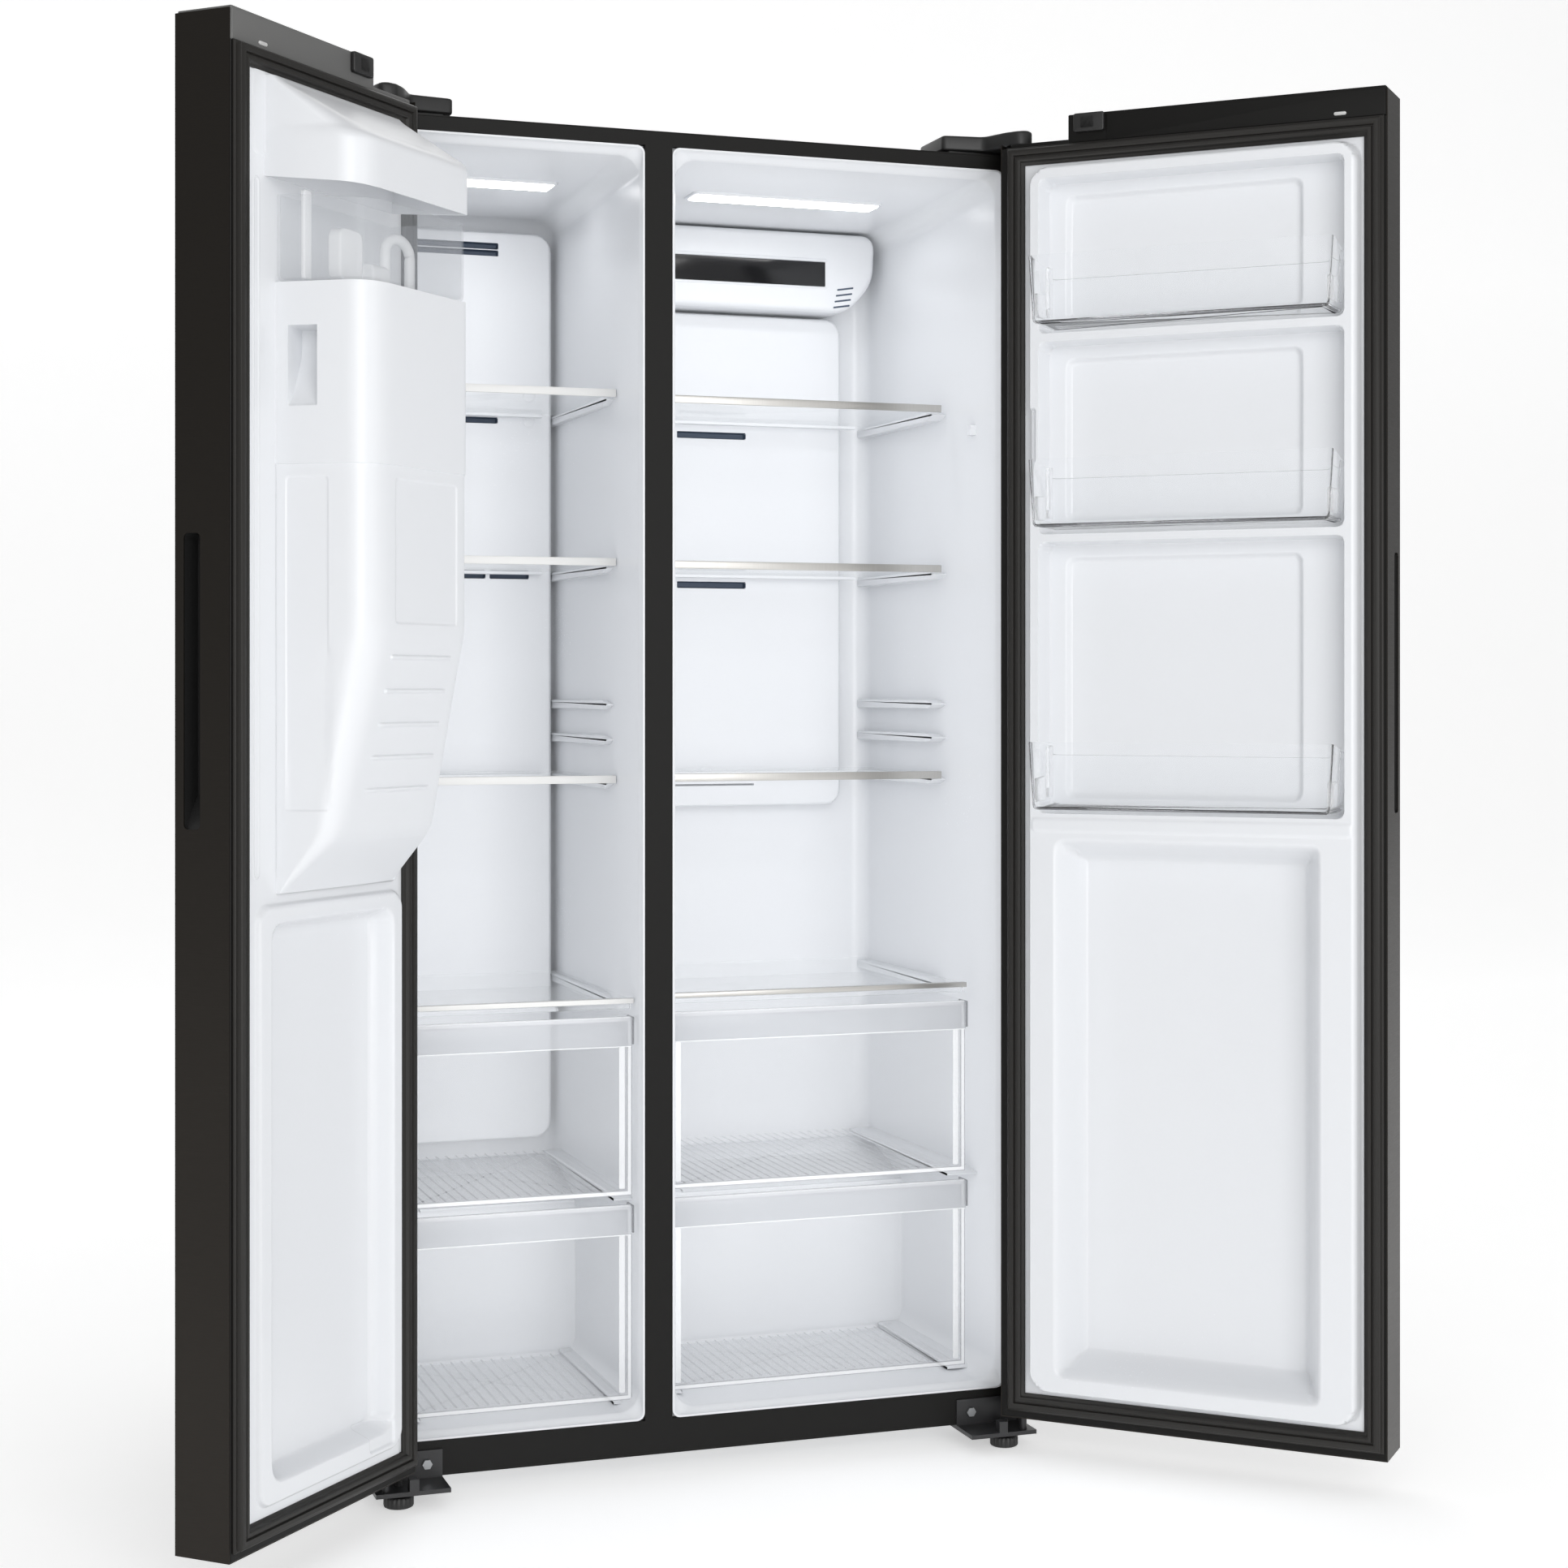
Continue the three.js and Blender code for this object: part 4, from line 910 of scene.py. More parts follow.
def build_drawer_covers():
    """The glass cover over each stack of drawers, with its trim and the clear lip below it."""
    for room, trim in (("freezer", ivory_trim()), ("fridge", silver_trim())):
        node = room + "_drawer_cover"
        lo, hi = CABINET.span(node)
        z = hi[2] - TRIM_LIP
        add_piece(room + "_cover_glass", [glass_pane(lo, hi)], shelf_glass(), "cabinet", "shelf_glass",
                  [node])
        nose = soft_polygon([(lo[1], z - 5), (lo[1], hi[2]), (lo[1] + 12, hi[2]), (lo[1] + 12, z + 0.2),
                             (lo[1] + 3, z - 5)], 0.9, 2)
        add_piece(room + "_cover_trim", [prism("x", nose, lo[0], hi[0], 0.6)], trim, "cabinet",
                  "white_plastic")
        under = soft_polygon([(lo[1] + 1, lo[2]), (lo[1] + 1, z - 5.4), (lo[1] + 9, z - 5.4),
                              (lo[1] + 9, lo[2])], 0.8, 2)
        add_piece(room + "_cover_underlip", [prism("x", under, lo[0] + 4, hi[0] - 4, 0.5)], clear_plastic(),
                  "cabinet", "clear_plastic")


def drawer_profile(z0, z1, wall, rounding):
    """(inset, height) of a drawer's wall: a quarter circle up, over the rim, and a smaller one back in."""
    turns = np.linspace(math.pi / 2, 0, 6)
    outer = [(rounding * (1 - math.cos(a)), z0 + rounding - rounding * math.sin(a)) for a in turns]
    hollow = rounding - wall
    inner = [(wall + hollow * (1 - math.cos(a)), z0 + rounding - hollow * math.sin(a)) for a in turns[::-1]]
    return outer + [(0, z1 - 0.8), (0.5, z1), (wall - 0.5, z1), (wall, z1 - 0.8)] + inner


def drawer_pieces(node, name):
    """A drawer: tub, frame round its face, two flanges, floor ribs, a pull band with its rims, and clips."""
    lo, hi = CABINET.span(node)
    front, z0, z1 = lo[1] + PULL_REACH, lo[2], hi[2]
    outline = rounded_rect(lo[0], hi[0], front, hi[1], 9, 5)
    tub = vessel("z", outline, drawer_profile(z0, z1, size_of("drawer_wall"), 13.0))
    add_piece(name, [tub], drawer_plastic(), node, "clear_plastic", [node])
    # The frame round the face, the flanges and the band's rims are paler: painted highlight for the light
    # that the clear edges catch. The frame's two narrow bevels are dark: painted shade lines.
    edge = frame_sweep((lo[0] + 0.6, z0 + 0.6), (hi[0] - 0.6, z1 - 0.6), [
        (0, front + 0.4), (0, front - 0.6), (1.3, front - 1.4), (5.6, front - 1.4), (6.8, front - 0.7),
        (6.8, front + 0.4)])

    def at_painted_shade_line(c):
        """The narrow bevels along both borders of the frame, by the distance to its outer border: these take
        the painted edge shade.
        """
        gap = np.minimum.reduce([c[:, 0] - lo[0] - 0.6, hi[0] - 0.6 - c[:, 0], c[:, 2] - z0 - 0.6,
                                 z1 - 0.6 - c[:, 2]])
        return (gap < 1.3) | (gap > 5.6)

    add_piece(name + "_front_edge", [edge], painted_edge_highlight(), node, "clear_plastic", extra=[painted_edge_shade()],
              pick=at_painted_shade_line)
    flanges = [block((x, front + 2.2, z0 + 9), (x + 8, front + 4.2, z1 - 40), 2, 0.6, "y")
               for x in (lo[0] + 9, hi[0] - 17)]
    add_piece(name + "_flanges", flanges, painted_edge_highlight(), node, "clear_plastic")
    ribs = []
    count = int((hi[0] - lo[0] - 60) / size_of("rib_spacing") + 1e-4)
    for x in np.linspace(lo[0] + 30, hi[0] - 30, count):
        ridge = np.array([(x - 1.6, z0 + 2.3), (x + 1.6, z0 + 2.3), (x, z0 + 3.6)])
        ribs.append(prism("y", ridge, front + 26, hi[1] - 26, 0.2, 1))
    add_piece(name + "_floor_ribs", ribs, rib_plastic(), node, "clear_plastic")
    band = soft_polygon([(lo[1], z1 - 38), (lo[1], z1), (front + 2.3, z1), (front + 2.3, z1 - 2.2),
                         (lo[1] + 2.4, z1 - 2.2), (lo[1] + 2.4, z1 - 38)], 0.8, 2)
    add_piece(name + "_pull_band", [prism("x", band, lo[0] + 3, hi[0] - 3, 0.7)], band_plastic(), node,
              "clear_plastic")
    rims = [block((lo[0] + 4, lo[1] - 0.25, z1 - 39), (hi[0] - 4, lo[1] + 2.0, z1 - 37.6), 0.6, 0.3, "x"),
            block((lo[0] + 4, lo[1] + 3, z1 - 2.0), (hi[0] - 4, lo[1] + 5, z1 + 0.3), 0.6, 0.3, "x")]
    add_piece(name + "_band_rims", rims, painted_edge_highlight(), node, "clear_plastic")
    clips = []
    for x0, x1 in ((lo[0], lo[0] + 2.6), (hi[0] - 2.6, hi[0])):
        side = soft_polygon([(lo[1] + 0.2, z1 - 36), (lo[1] + 0.2, z1), (front + 18, z1),
                             (front + 18, z1 - 6), (front - 1, z1 - 9), (front - 3, z1 - 36)], 2.0, 3)
        clips.append(prism("x", side, x0, x1, 0.6))
    add_piece(name + "_clips", clips, smoked_plastic_and_painted_shade(), node, "clear_plastic")


def build_drawers():
    """Four clear drawers with ribbed floors, frosted pull bands and end clips."""
    for room in ("freezer", "fridge"):
        for level in ("upper", "lower"):
            drawer_pieces(f"{room}_drawer_{level}", f"{room}_tub_{level}")


# ------------------------------------------------------------------ doors
DOORS = {
    "left": {"place": LEFT, "body": "left_door"},
    "right": {"place": RIGHT, "body": "right_door"},
}
# (inset from the gasket's border, depth) over a flap, two soft ribs and the groove between them.
GASKET_PROFILE = [
    (0, 31.3), (0, 33.8), (1.2, 35.2), (3.0, 35.4), (3.4, 37.2), (3.0, 40.0), (4.6, 42.0), (8.4, 42.7),
    (11.6, 41.6), (12.6, 38.6), (13.8, 38.6), (14.8, 40.8), (17.6, 41.4), (19.8, 40.2), (20.6, 37.0),
    (22.2, 35.8), (24.6, 34.6), (25, 33.4), (25, 31.3),
]


def build_door_edges():
    """For both doors: the folded steel edge, the gasket, the top cap, and the finish of skin and grip."""
    dress(["left_door_skin", "right_door_skin"], dark_steel())
    dress(["left_grip_pocket", "right_grip_pocket"], black_plastic())
    for side, door in DOORS.items():
        place, body = door["place"], door["body"]
        lo, hi = place.span(side + "_door_gasket")
        loops = frame_sweep((lo[0], lo[2]), (hi[0], hi[2]), GASKET_PROFILE)
        add_piece(side + "_door_seal", [loops], rubber(), body, "gasket_rubber", [side + "_door_gasket"],
                  place, sharp=50)
        lo, hi = place.span(side + "_door_skin")
        fold = frame_sweep((lo[0] + 1.3, lo[2] + 1.3), (hi[0] - 1.3, 1742.0),
                           [(0, 28.5), (0, 30.0), (0.8, 30.8), (18, 30.8), (18, 28.5)])
        add_piece(side + "_door_fold", [fold], dark_paint(), body, "brushed_dark_steel", (), place)
        build_top_cap(side, place, body)


def build_top_cap(side, place, body):
    """The cap on a door's upper edge: a long block, a low one at the hinge, a strip, a stop and a pad."""
    lo, hi = place.span(side + "_door_top_cap")
    inner = DOOR_FACE
    material = grey_cap() if side == "left" else dark_paint()
    shells = [
        block((74, lo[1], lo[2]), (hi[0], inner, hi[2]), 2.0, 1.6, "z"),
        block((lo[0] + 12, lo[1] + 12, lo[2]), (76, inner, 1747.5), 2.0, 1.0, "z"),
        block((127, inner - 2, lo[2] + 0.5), (hi[0] - 1, inner + 0.9, hi[2] - 3), 1.2, 0.8, "y"),
    ]
    add_piece(side + "_door_cap", shells, material, body, "dark_paint", [side + "_door_top_cap"], place)
    stop = [block((83, inner - 3, hi[2] - 25), (125, hi[1], hi[2]), 3, 1.8, "y"),
            block((92, inner - 1, hi[2] - 21), (112, hi[1], hi[2] - 4), 2, 1.0, "y")]
    add_piece(side + "_door_stop", stop, black_plastic(), body, "black_plastic", (), place)
    pad = block((hi[0] - 66, inner - 0.4, 1746.5), (hi[0] - 50, inner + 2.4, 1751), 2.2, 1.0, "y")
    add_piece(side + "_door_pad", [pad], ivory_trim(), body, "white_plastic", (), place)


def left_liner_height(s, z):
    """Inner face of the freezer door: a level sheet plus smooth steps over distance fields.

    A rim and a lower frame stand out, a panel is sunk 29 mm, and a line and the hood's plate are pressed out.
    """
    face = np.full(s.shape, DOOR_FACE)
    frame_ridge = rect_distance(s, z, 18, 332, 66, 1734, 14)
    face = face + 1.6 * smooth(-frame_ridge / 3)
    lower = rect_distance(s, z, 20, 320, 92, 776, 24)
    face = face + 6.4 * smooth(-lower / 5)
    panel = rect_distance(s, z, 40, 296, 116, 756, 26)
    face = face + sunk(panel, 29.0, 15)
    notch = rect_distance(s, z, 40, 96, 100, 132, 6)
    face = face + sunk(notch, 2.5, 3)
    slot_line = np.abs(rect_distance(s, z, 312, 322, 806, 1596, 5))
    face = face + 1.1 * smooth(1 - slot_line / 1.8)
    hood_plate = rect_distance(s, z, 24, 326, 1622, 1722, 12)
    face = face + 1.4 * smooth(-hood_plate / 2.5)
    return np.where(behind_cup(s, z), CUP_ROOM["front"], face)


def behind_cup(s, z):
    """Where the freezer door's face gives way to the dispenser's cup."""
    (s0, s1), (z0, z1) = CUP_ROOM["s"], CUP_ROOM["z"]
    return (s > s0) & (s < s1) & (z > z0) & (z < z1)


def left_liner_rear(s, z):
    """Rear of the freezer door's face: its front less a thickness, going round the dispenser's cup."""
    plain = np.minimum(left_liner_height(s, z) - FACE_THICKNESS, FACE_REAR)
    return np.where(behind_cup(s, z), CUP_ROOM["rear"], plain)


def build_left_liner():
    """The freezer door's white inner face."""
    s_edges = [18, 20, 40, 296, 312, 322, 326, 332, 24, 96, *CUP_ROOM["s"]]
    z_edges = [66, 92, 100, 116, 132, 756, 776, 806, *CUP_ROOM["z"], 1596, 1622, 1722, 1734]
    ss = grid_lines(-3, 343, s_edges, 20, (0.0, 0.8, 1.7, 3.0, 5.0, 8.0, 12.0, 17.0))
    zs = grid_lines(64, 1736, z_edges, 34, (0.0, 0.8, 1.7, 3.0, 5.0, 8.0, 12.0, 17.0, 23.0))
    shell = relief("y", ss, zs, left_liner_height, left_liner_rear)
    add_piece("left_door_inner_face", [shell], white_liner(), "left_door", "white_plastic",
              ["left_door_liner"], LEFT, sharp=60)


RIGHT_POCKETS = ((1489, 1694), (1224, 1478), (856, 1214))


def right_liner_height(s, z):
    """Inner face of the fridge door: a level sheet plus smooth steps over distance fields.

    A ridge stands 25 mm out, with three stepped pockets and a bevelled panel sunk into it, and a sill.
    """
    face = np.full(s.shape, DOOR_FACE)
    ridge = rect_distance(s, z, 24, 464, 88, 1714, 30)
    face = face + 25.0 * smooth(-ridge / 6)
    for low, high in RIGHT_POCKETS:
        pocket = rect_distance(s, z, 41, 447, low, high, 12)
        face = face + sunk(pocket, 38.5, 3.2)
        panel = rect_distance(s, z, 66, 386, low + 14, high - 18, 14)
        face = face + sunk(panel, 9.0, 7)
    lower = rect_distance(s, z, 61, 418, 112, 824, 16)
    face = face + sunk(lower, 50.0, 34)
    sill = rect_distance(s, z, 30, 458, 830, 852, 8)
    face = face + 1.6 * smooth(-sill / 5)
    rest = rect_distance(s, z, 26, 38, 1310, 1392, 5)
    return face + sunk(rest, 8.0, 4)


def right_liner_rear(s, z):
    """Rear of the fridge door's face: its front less a thickness."""
    return np.minimum(right_liner_height(s, z) - FACE_THICKNESS, FACE_REAR)


def build_right_liner():
    """The fridge door's white inner face."""
    s_edges = [24, 41, 447, 464, 66, 386, 61, 418, 95, 384, 26, 38]
    z_edges = [88, 112, 146, 790, 824, 830, 852, 1714, 1310, 1392]
    z_edges += [edge for low, high in RIGHT_POCKETS for edge in (low, low + 14, high - 18, high)]
    fine = (0.0, 0.8, 1.7, 3.0, 5.0, 8.0, 12.0)
    ss, zs = grid_lines(-3, 476, s_edges, 20, fine), grid_lines(64, 1736, z_edges, 30, fine)
    shell = relief("y", ss, zs, right_liner_height, right_liner_rear)
    add_piece("right_door_inner_face", [shell], white_liner(), "right_door", "white_plastic",
              ["right_door_liner"], RIGHT, sharp=60)


# ------------------------------------------------------------------ ice maker on the freezer door
def housing_outline(depth, near, far, back):
    """Plan of the housing in (s, y): near side, small corner, deep face, a wide parabola, free side."""
    k = float(np.clip((depth - back) / 100.0, 0.08, 1.0))
    near_face = near + 16 * k
    turn_s, turn_y = far - 58 * k - 8, depth - 34 * k
    t = np.linspace(0, 1, 12)[:, None]
    near_side = np.stack([np.linspace(near, near + 9 * k, 8), np.linspace(back, depth - 7 * k, 8)], 1)
    p0, p1, p2 = near_side[-1], np.array([near + 10 * k, depth]), np.array([near_face, depth])
    near_corner = ((1 - t) ** 2 * p0 + 2 * t * (1 - t) * p1 + t * t * p2)[1:-1:2]
    across = np.interp(FRONT_LINES, [0, 1], [near_face, turn_s])
    deep_face = np.stack([across, np.full(len(across), depth)], 1)
    q0, q1, q2 = np.array([turn_s, depth]), np.array([far - 20 * k, depth]), np.array([far - 16 * k, turn_y])
    far_corner = ((1 - t) ** 2 * q0 + 2 * t * (1 - t) * q1 + t * t * q2)[1:-1]
    down = np.interp(SIDE_LINES, [0, 1], [turn_y, back])
    far_side = np.stack([np.interp(down, [back, turn_y], [far, far - 16 * k]), down], 1)
    return np.concatenate([near_side, near_corner, deep_face, far_corner, far_side])


# Where the pressed panels, the ridges and the thumb hollow lie, and grid lines that are closer along them.
HOUSING_FACE = (56.0, 215.0)
HOUSING_SIDE = (31.3, 113.0)
FRONT_PANEL = (70.0, 205.0)
SIDE_PANEL = (44.0, 96.0)
THUMB = {"y": (48.0, 83.0), "z": (1341.0, 1433.0), "depth": 36.0}
RIDGES = (1056.0, 1017.0, 978.0, 940.0, 902.0)
FINE = (0.0, 0.9, 1.8, 3.5)
FRONT_LINES = (grid_lines(*HOUSING_FACE, FRONT_PANEL, 9, FINE) - HOUSING_FACE[0]) / np.ptp(HOUSING_FACE)
SIDE_LINES = (HOUSING_SIDE[1] - grid_lines(*HOUSING_SIDE, [*SIDE_PANEL, *THUMB["y"]], 7, FINE)[::-1]
              ) / np.ptp(HOUSING_SIDE)


def housing_depth(z):
    """Depth of the housing at a height: straight stretches, rounded by taking the mean over 28 mm."""
    heights = [780, 790, 850, 1087, 1500]
    depths = [33, 40, 97, 147, 147]
    offsets = np.linspace(-14, 14, 9)
    return np.mean([np.interp(z + o, heights, depths) for o in offsets])


def housing_press(outline, z):
    """How far each point stands out: the upper body by a millimetre, pressed panels in, and five ridges."""
    s, y = outline[:, 0], outline[:, 1]
    out = np.full(len(outline), 0.0 if z > 1275 else -1.6)
    on_front = y > housing_depth(z) - 1.5
    front = rect_distance(s, np.full_like(s, z), *FRONT_PANEL, 1094, 1262, 5)
    out += np.where(on_front, sunk(front, 1.3, 2.0), 0)
    on_side = s > 250
    side = rect_distance(y, np.full_like(y, z), *SIDE_PANEL, 880, 1262, 6)
    out += np.where(on_side, sunk(side, 1.2, 2.0), 0)
    for ridge in RIDGES:
        groove = rect_distance(s, np.full_like(s, z), 76, 206, ridge - 3.2, ridge + 3.2, 3.0)
        out -= np.where(on_front, sunk(groove, 2.6, 2.2), 0)
    ramp = np.clip((z - THUMB["z"][0]) / 62.0, 0, 1) ** 0.8
    within = smooth((z - THUMB["z"][0]) / 2.0) * smooth((THUMB["z"][1] - z) / 1.6)
    across = smooth((y - THUMB["y"][0]) / 1.6) * smooth((THUMB["y"][1] - y) / 1.6)
    out -= np.where(on_side, THUMB["depth"] * ramp * within * across, 0)
    return out


def build_ice_maker():
    """The ice maker's white body: a shell open towards the door, and a lid under the container."""
    edges = [1275, 1087, 850, 1094, 1262, 880, *THUMB["z"]]
    edges += [ridge + by for ridge in RIDGES for by in (-3.2, 0, 3.2)]
    lo, hi = LEFT.span("ice_housing")
    levels = grid_lines(lo[2] + 0.2, hi[2], edges, 14, (0.0, 0.9, 1.8, 3.2, 5.0, 8.0))
    loops = []
    for z in levels:
        depth = housing_depth(z)
        outline = housing_outline(depth, HOUSING["near"], HOUSING["far"], HOUSING["back"])
        press = housing_press(outline, z)
        wall = min(3.0, (depth - HOUSING["back"]) * 0.25)
        inner = inset(outline, wall + np.maximum(0, -press))
        loops.append(along("z", np.concatenate([inset(outline, -press), inner[::-1]]), z))
    lid = prism("z", inset(outline, 1.2), hi[2] - 3, hi[2] + 0.1, 0.8)
    add_piece("ice_maker_body", [stack(loops), lid], white_cover(), "left_door", "white_plastic",
              ["ice_housing"], LEFT, sharp=50)


def bucket_slant(loop, height, top):
    """The bucket's rim falls by 6 smooth((y - 40) / 100) towards its deep side."""
    return -6.0 * smooth((loop[:, 1] - 40) / 100) * (height > top - 1)


def build_ice_container():
    """The clear ice bucket and the milky parts that show through it."""
    lo, hi = LEFT.span("ice_container")
    outline = inset(housing_outline(HOUSING["depth"] - 1.5, HOUSING["near"] + 1, HOUSING["far"] - 2,
                                    HOUSING["back"] + 2), 0.5)
    wall, floor, top = 2.4, lo[2] + 0.2, hi[2]
    profile = [(10, floor), (3, floor + 0.6), (0.8, floor + 2.5), (0, floor + 7), (0, top), (0.5, top + 0.4),
               (wall - 0.5, top + 0.4), (wall, top), (wall, floor + 7), (wall + 1, floor + 4),
               (wall + 8, floor + 2.6)]
    bucket = vessel("z", outline, profile, lambda loop, height: bucket_slant(loop, height, top))
    add_piece("ice_bucket", [bucket], bucket_plastic(), "ice_container", "clear_plastic", ["ice_container"],
              LEFT)
    turns = np.linspace(0, math.pi, 14)
    arch = np.stack([118 - 27 * np.cos(turns), np.full(14, 92.0), 1532 + 20 * np.sin(turns)], 1)
    arch = np.concatenate([[(91, 92, 1488)], arch, [(145, 92, 1488)]])
    strip = block((256, 60, 1486), (270, 66, 1588), 3, 1.5, "y")
    bracket = block((196, 78, 1486), (243, 96, 1548), 12, 3, "y")
    shelf = block((160, 70, 1486), (196, 110, 1512), 9, 3, "x")
    add_piece("ice_bucket_inner_parts", [tube(arch, 6.5, 10), strip, bracket, shelf], milky_plastic(),
              "ice_container", "clear_plastic", (), LEFT)


def hood_depth(z):
    """Depth of the hood at a height: level up to its brow, then a straight slope, as a mean over 12 mm."""
    offsets = np.linspace(-6, 6, 7)
    return np.mean([np.interp(z + o, [1500, 1646, 1712, 1730], [147, 147, 44, 33]) for o in offsets])


def hood_drop(outline, z):
    """How far the hood's lower edge hangs: more towards its deep side, and nothing from its level line up."""
    hang = max(0.0, HOOD_LIP["level"] - z) / HOOD_LIP["fade"] * (HOOD_LIP["base"] - HOOD_LIP["deep"])
    return -hang * np.clip((outline[:, 1] - HOUSING["back"]) / HOOD["reach"], 0, 1)


def build_ice_hood():
    """The white hood over the ice bucket, with four pressed lines on its slope."""
    near, far, back = HOOD["near"], HOOD["far"], HOUSING["back"]
    levels = np.concatenate([np.linspace(1600, 1634, 5), np.linspace(1637, 1714, 30)])
    outer, inner = [], []
    for z in levels:
        depth = hood_depth(z)
        outline = housing_outline(depth, near, far, back)
        groove = sum(smooth(1 - abs(depth - line) / 1.6) for line in (128.0, 118.0, 108.0, 98.0))
        on_face = (outline[:, 1] > depth - 1.5) & (outline[:, 0] > 62) & (outline[:, 0] < 196)
        pressed = np.where(on_face, 0.9 * groove, 0.0)
        outer.append(along("z", inset(outline, pressed), z + hood_drop(outline, z)))
    for z in levels[:8]:
        outline = inset(housing_outline(hood_depth(z), near, far, back), HOOD["wall"])
        inner.append(along("z", outline, z + hood_drop(outline, z) + 0.3))
    loops = inner[::-1] + outer
    add_piece("ice_maker_hood", [stack(loops)], white_cover(), "left_door", "white_plastic", ["ice_hood"],
              LEFT, sharp=45)


def build_dispenser():
    """The dispenser outside the freezer door: niche, drip bars, nozzle, paddle and touch panel."""
    lo, hi = LEFT.span("dispenser_niche")
    outline = rounded_rect(lo[0], hi[0], lo[2], hi[2], 12, 6)
    profile = [(6, hi[1]), (1.5, hi[1] - 1.5), (0, hi[1] - 6), (0, lo[1] + 0.8), (0.6, lo[1] + 0.2),
               (2.2, lo[1] + 0.2), (2.8, lo[1] + 0.9), (5, hi[1] - 12), (8, hi[1] - 6), (14, hi[1] - 3)]
    cup = vessel("y", outline, profile)
    nozzle = lathe([(0, 0), (11, 0), (13, 2), (13, 14), (16, 20), (16, 26), (0, 26)], (155, 40, hi[2] - 30),
                   "z", 28)
    add_piece("dispenser_cup", [cup, nozzle], black_plastic(), "left_door", "black_plastic",
              ["dispenser_niche"], LEFT)
    bars = [block((lo[0] + 8, y, lo[2] + 4), (hi[0] - 8, y + 3, lo[2] + 10), 1.2, 0.8, "z")
            for y in np.arange(-34, 56, 7.0)]
    add_piece("dispenser_drip_bars", bars, zinc(), "left_door", "zinc_steel", (), LEFT)
    lo, hi = LEFT.span("dispenser_paddle")
    arm = block((148.5, 17.2, lo[2] + 55), (161.5, 21.6, hi[2] - 4), 2.0, 1.0, "y")
    pad = block((lo[0] + 0.3, lo[1] + 0.2, lo[2]), (hi[0] - 0.3, 22, lo[2] + 65), 9, 1.8, "y")
    hub = lathe([(0, -8.4), (4.4, -8.4), (5, -7.6), (5, 7.6), (4.4, 8.4), (0, 8.4)], (155, 21, 1293), "x", 24)
    add_piece("dispenser_lever", [arm, pad, hub], black_gloss(), "dispenser_paddle", "black_plastic",
              ["dispenser_paddle"], LEFT)
    lo, hi = LEFT.span("dispenser_panel")
    plate = block(lo, hi, 6, 0.6, "y")
    add_piece("dispenser_touch_panel", [plate], black_gloss(), "left_door", "black_enamel",
              ["dispenser_panel"], LEFT)
    rim = frame_sweep((lo[0] - 1.0, lo[2] - 1.0), (hi[0] + 1.0, hi[2] + 1.0),
                      [(0, lo[1] + 1.6), (0, lo[1] + 0.4), (0.8, lo[1] - 0.1), (1.6, lo[1] + 0.4),
                       (1.6, lo[1] + 1.6)])
    add_piece("dispenser_panel_rim", [rim], silver_trim(), "left_door", "zinc_steel", (), LEFT)


# ------------------------------------------------------------------ bins on the fridge door
def low_back(base, top, back):
    """Lowers a bin's back by 26 mm at its rim, fading to nothing at the base and 22 mm into the bin."""
    def slant(loop, height):
        share = max(0.0, (height - base - 8) / (top - base - 8))
        return -26.0 * smooth(1.0 - (loop[:, 1] - back) / 22.0) * share
    return slant


def build_bins():
    """Three clear door bins, wider at the top, with a back 26 mm lower, side hooks and a dark foot line of
    painted shade.
    """
    wall = size_of("bin_wall")
    for number in (1, 2, 3):
        node = f"right_door_bin_{number}"
        lo, hi = RIGHT.span(node)
        z0, z1 = lo[2], hi[2]
        outline = rounded_rect(lo[0], hi[0], lo[1], hi[1], 11, 6)
        profile = [(16, z0), (9, z0 + 0.3), (6, z0 + 2.5), (5, z0 + 7), (0.2, z1 - 1), (0.6, z1),
                   (wall - 0.3, z1), (wall, z1 - 1), (5 + wall, z0 + 8), (7 + wall, z0 + 4), (18, z0 + 2.6)]
        tub = vessel("z", outline, profile, low_back(z0, z1, lo[1]))
        add_piece(f"door_bin_{number}", [tub], clear_plastic(), node, "clear_plastic", [node], RIGHT)
        hooks = []
        for a, b, inward in ((lo[0] + 3.2, lo[0] + 7.4, 1), (hi[0] - 7.4, hi[0] - 3.2, -1)):
            hooks.append(block((a + 3 * inward, 34, z0 + 12), (b + 3 * inward, 52, z1 - 12), 3, 1.2, "x"))
            hooks.append(block((a + 2 * inward, 60, z0 + 9), (b + 2 * inward, 96, z0 + 40), 4, 1.2, "x"))
        add_piece(f"door_bin_{number}_hooks", hooks, frosted_plastic(), node, "clear_plastic", (), RIGHT)
        # A dark strip along the foot of the bin's front: painted shade for the dark line that the clear
        # plastic shows there.
        foot = block((lo[0] + 14, hi[1] - 8.4, z0 + 0.2), (hi[0] - 14, hi[1] - 6.6, z0 + 2.4), 0.8, 0.5, "x")
        add_piece(f"door_bin_{number}_painted_foot_shade", [foot], smoked_plastic_and_painted_shade(), node, "clear_plastic", (), RIGHT)


# ------------------------------------------------------------------ cabinet, hinges, feet and the back
def build_cabinet():
    """Finish of the painted cabinet, and the small fixed pieces that are shown as they are."""
    dress(["cabinet_shell", "front_frame"], dark_paint())
    dress(["back_panel", "base_tray", "evaporator_coil"], zinc())
    dress(["rear_cover", "compressor", "condenser_coil"], enamel())
    dress(["condenser_fan", "power_inlet", "left_rear_roller", "right_rear_roller"], black_plastic())
    dress(["evaporator_fan", "water_valve", "door_switch", "cabinet_foam"], white_cover())


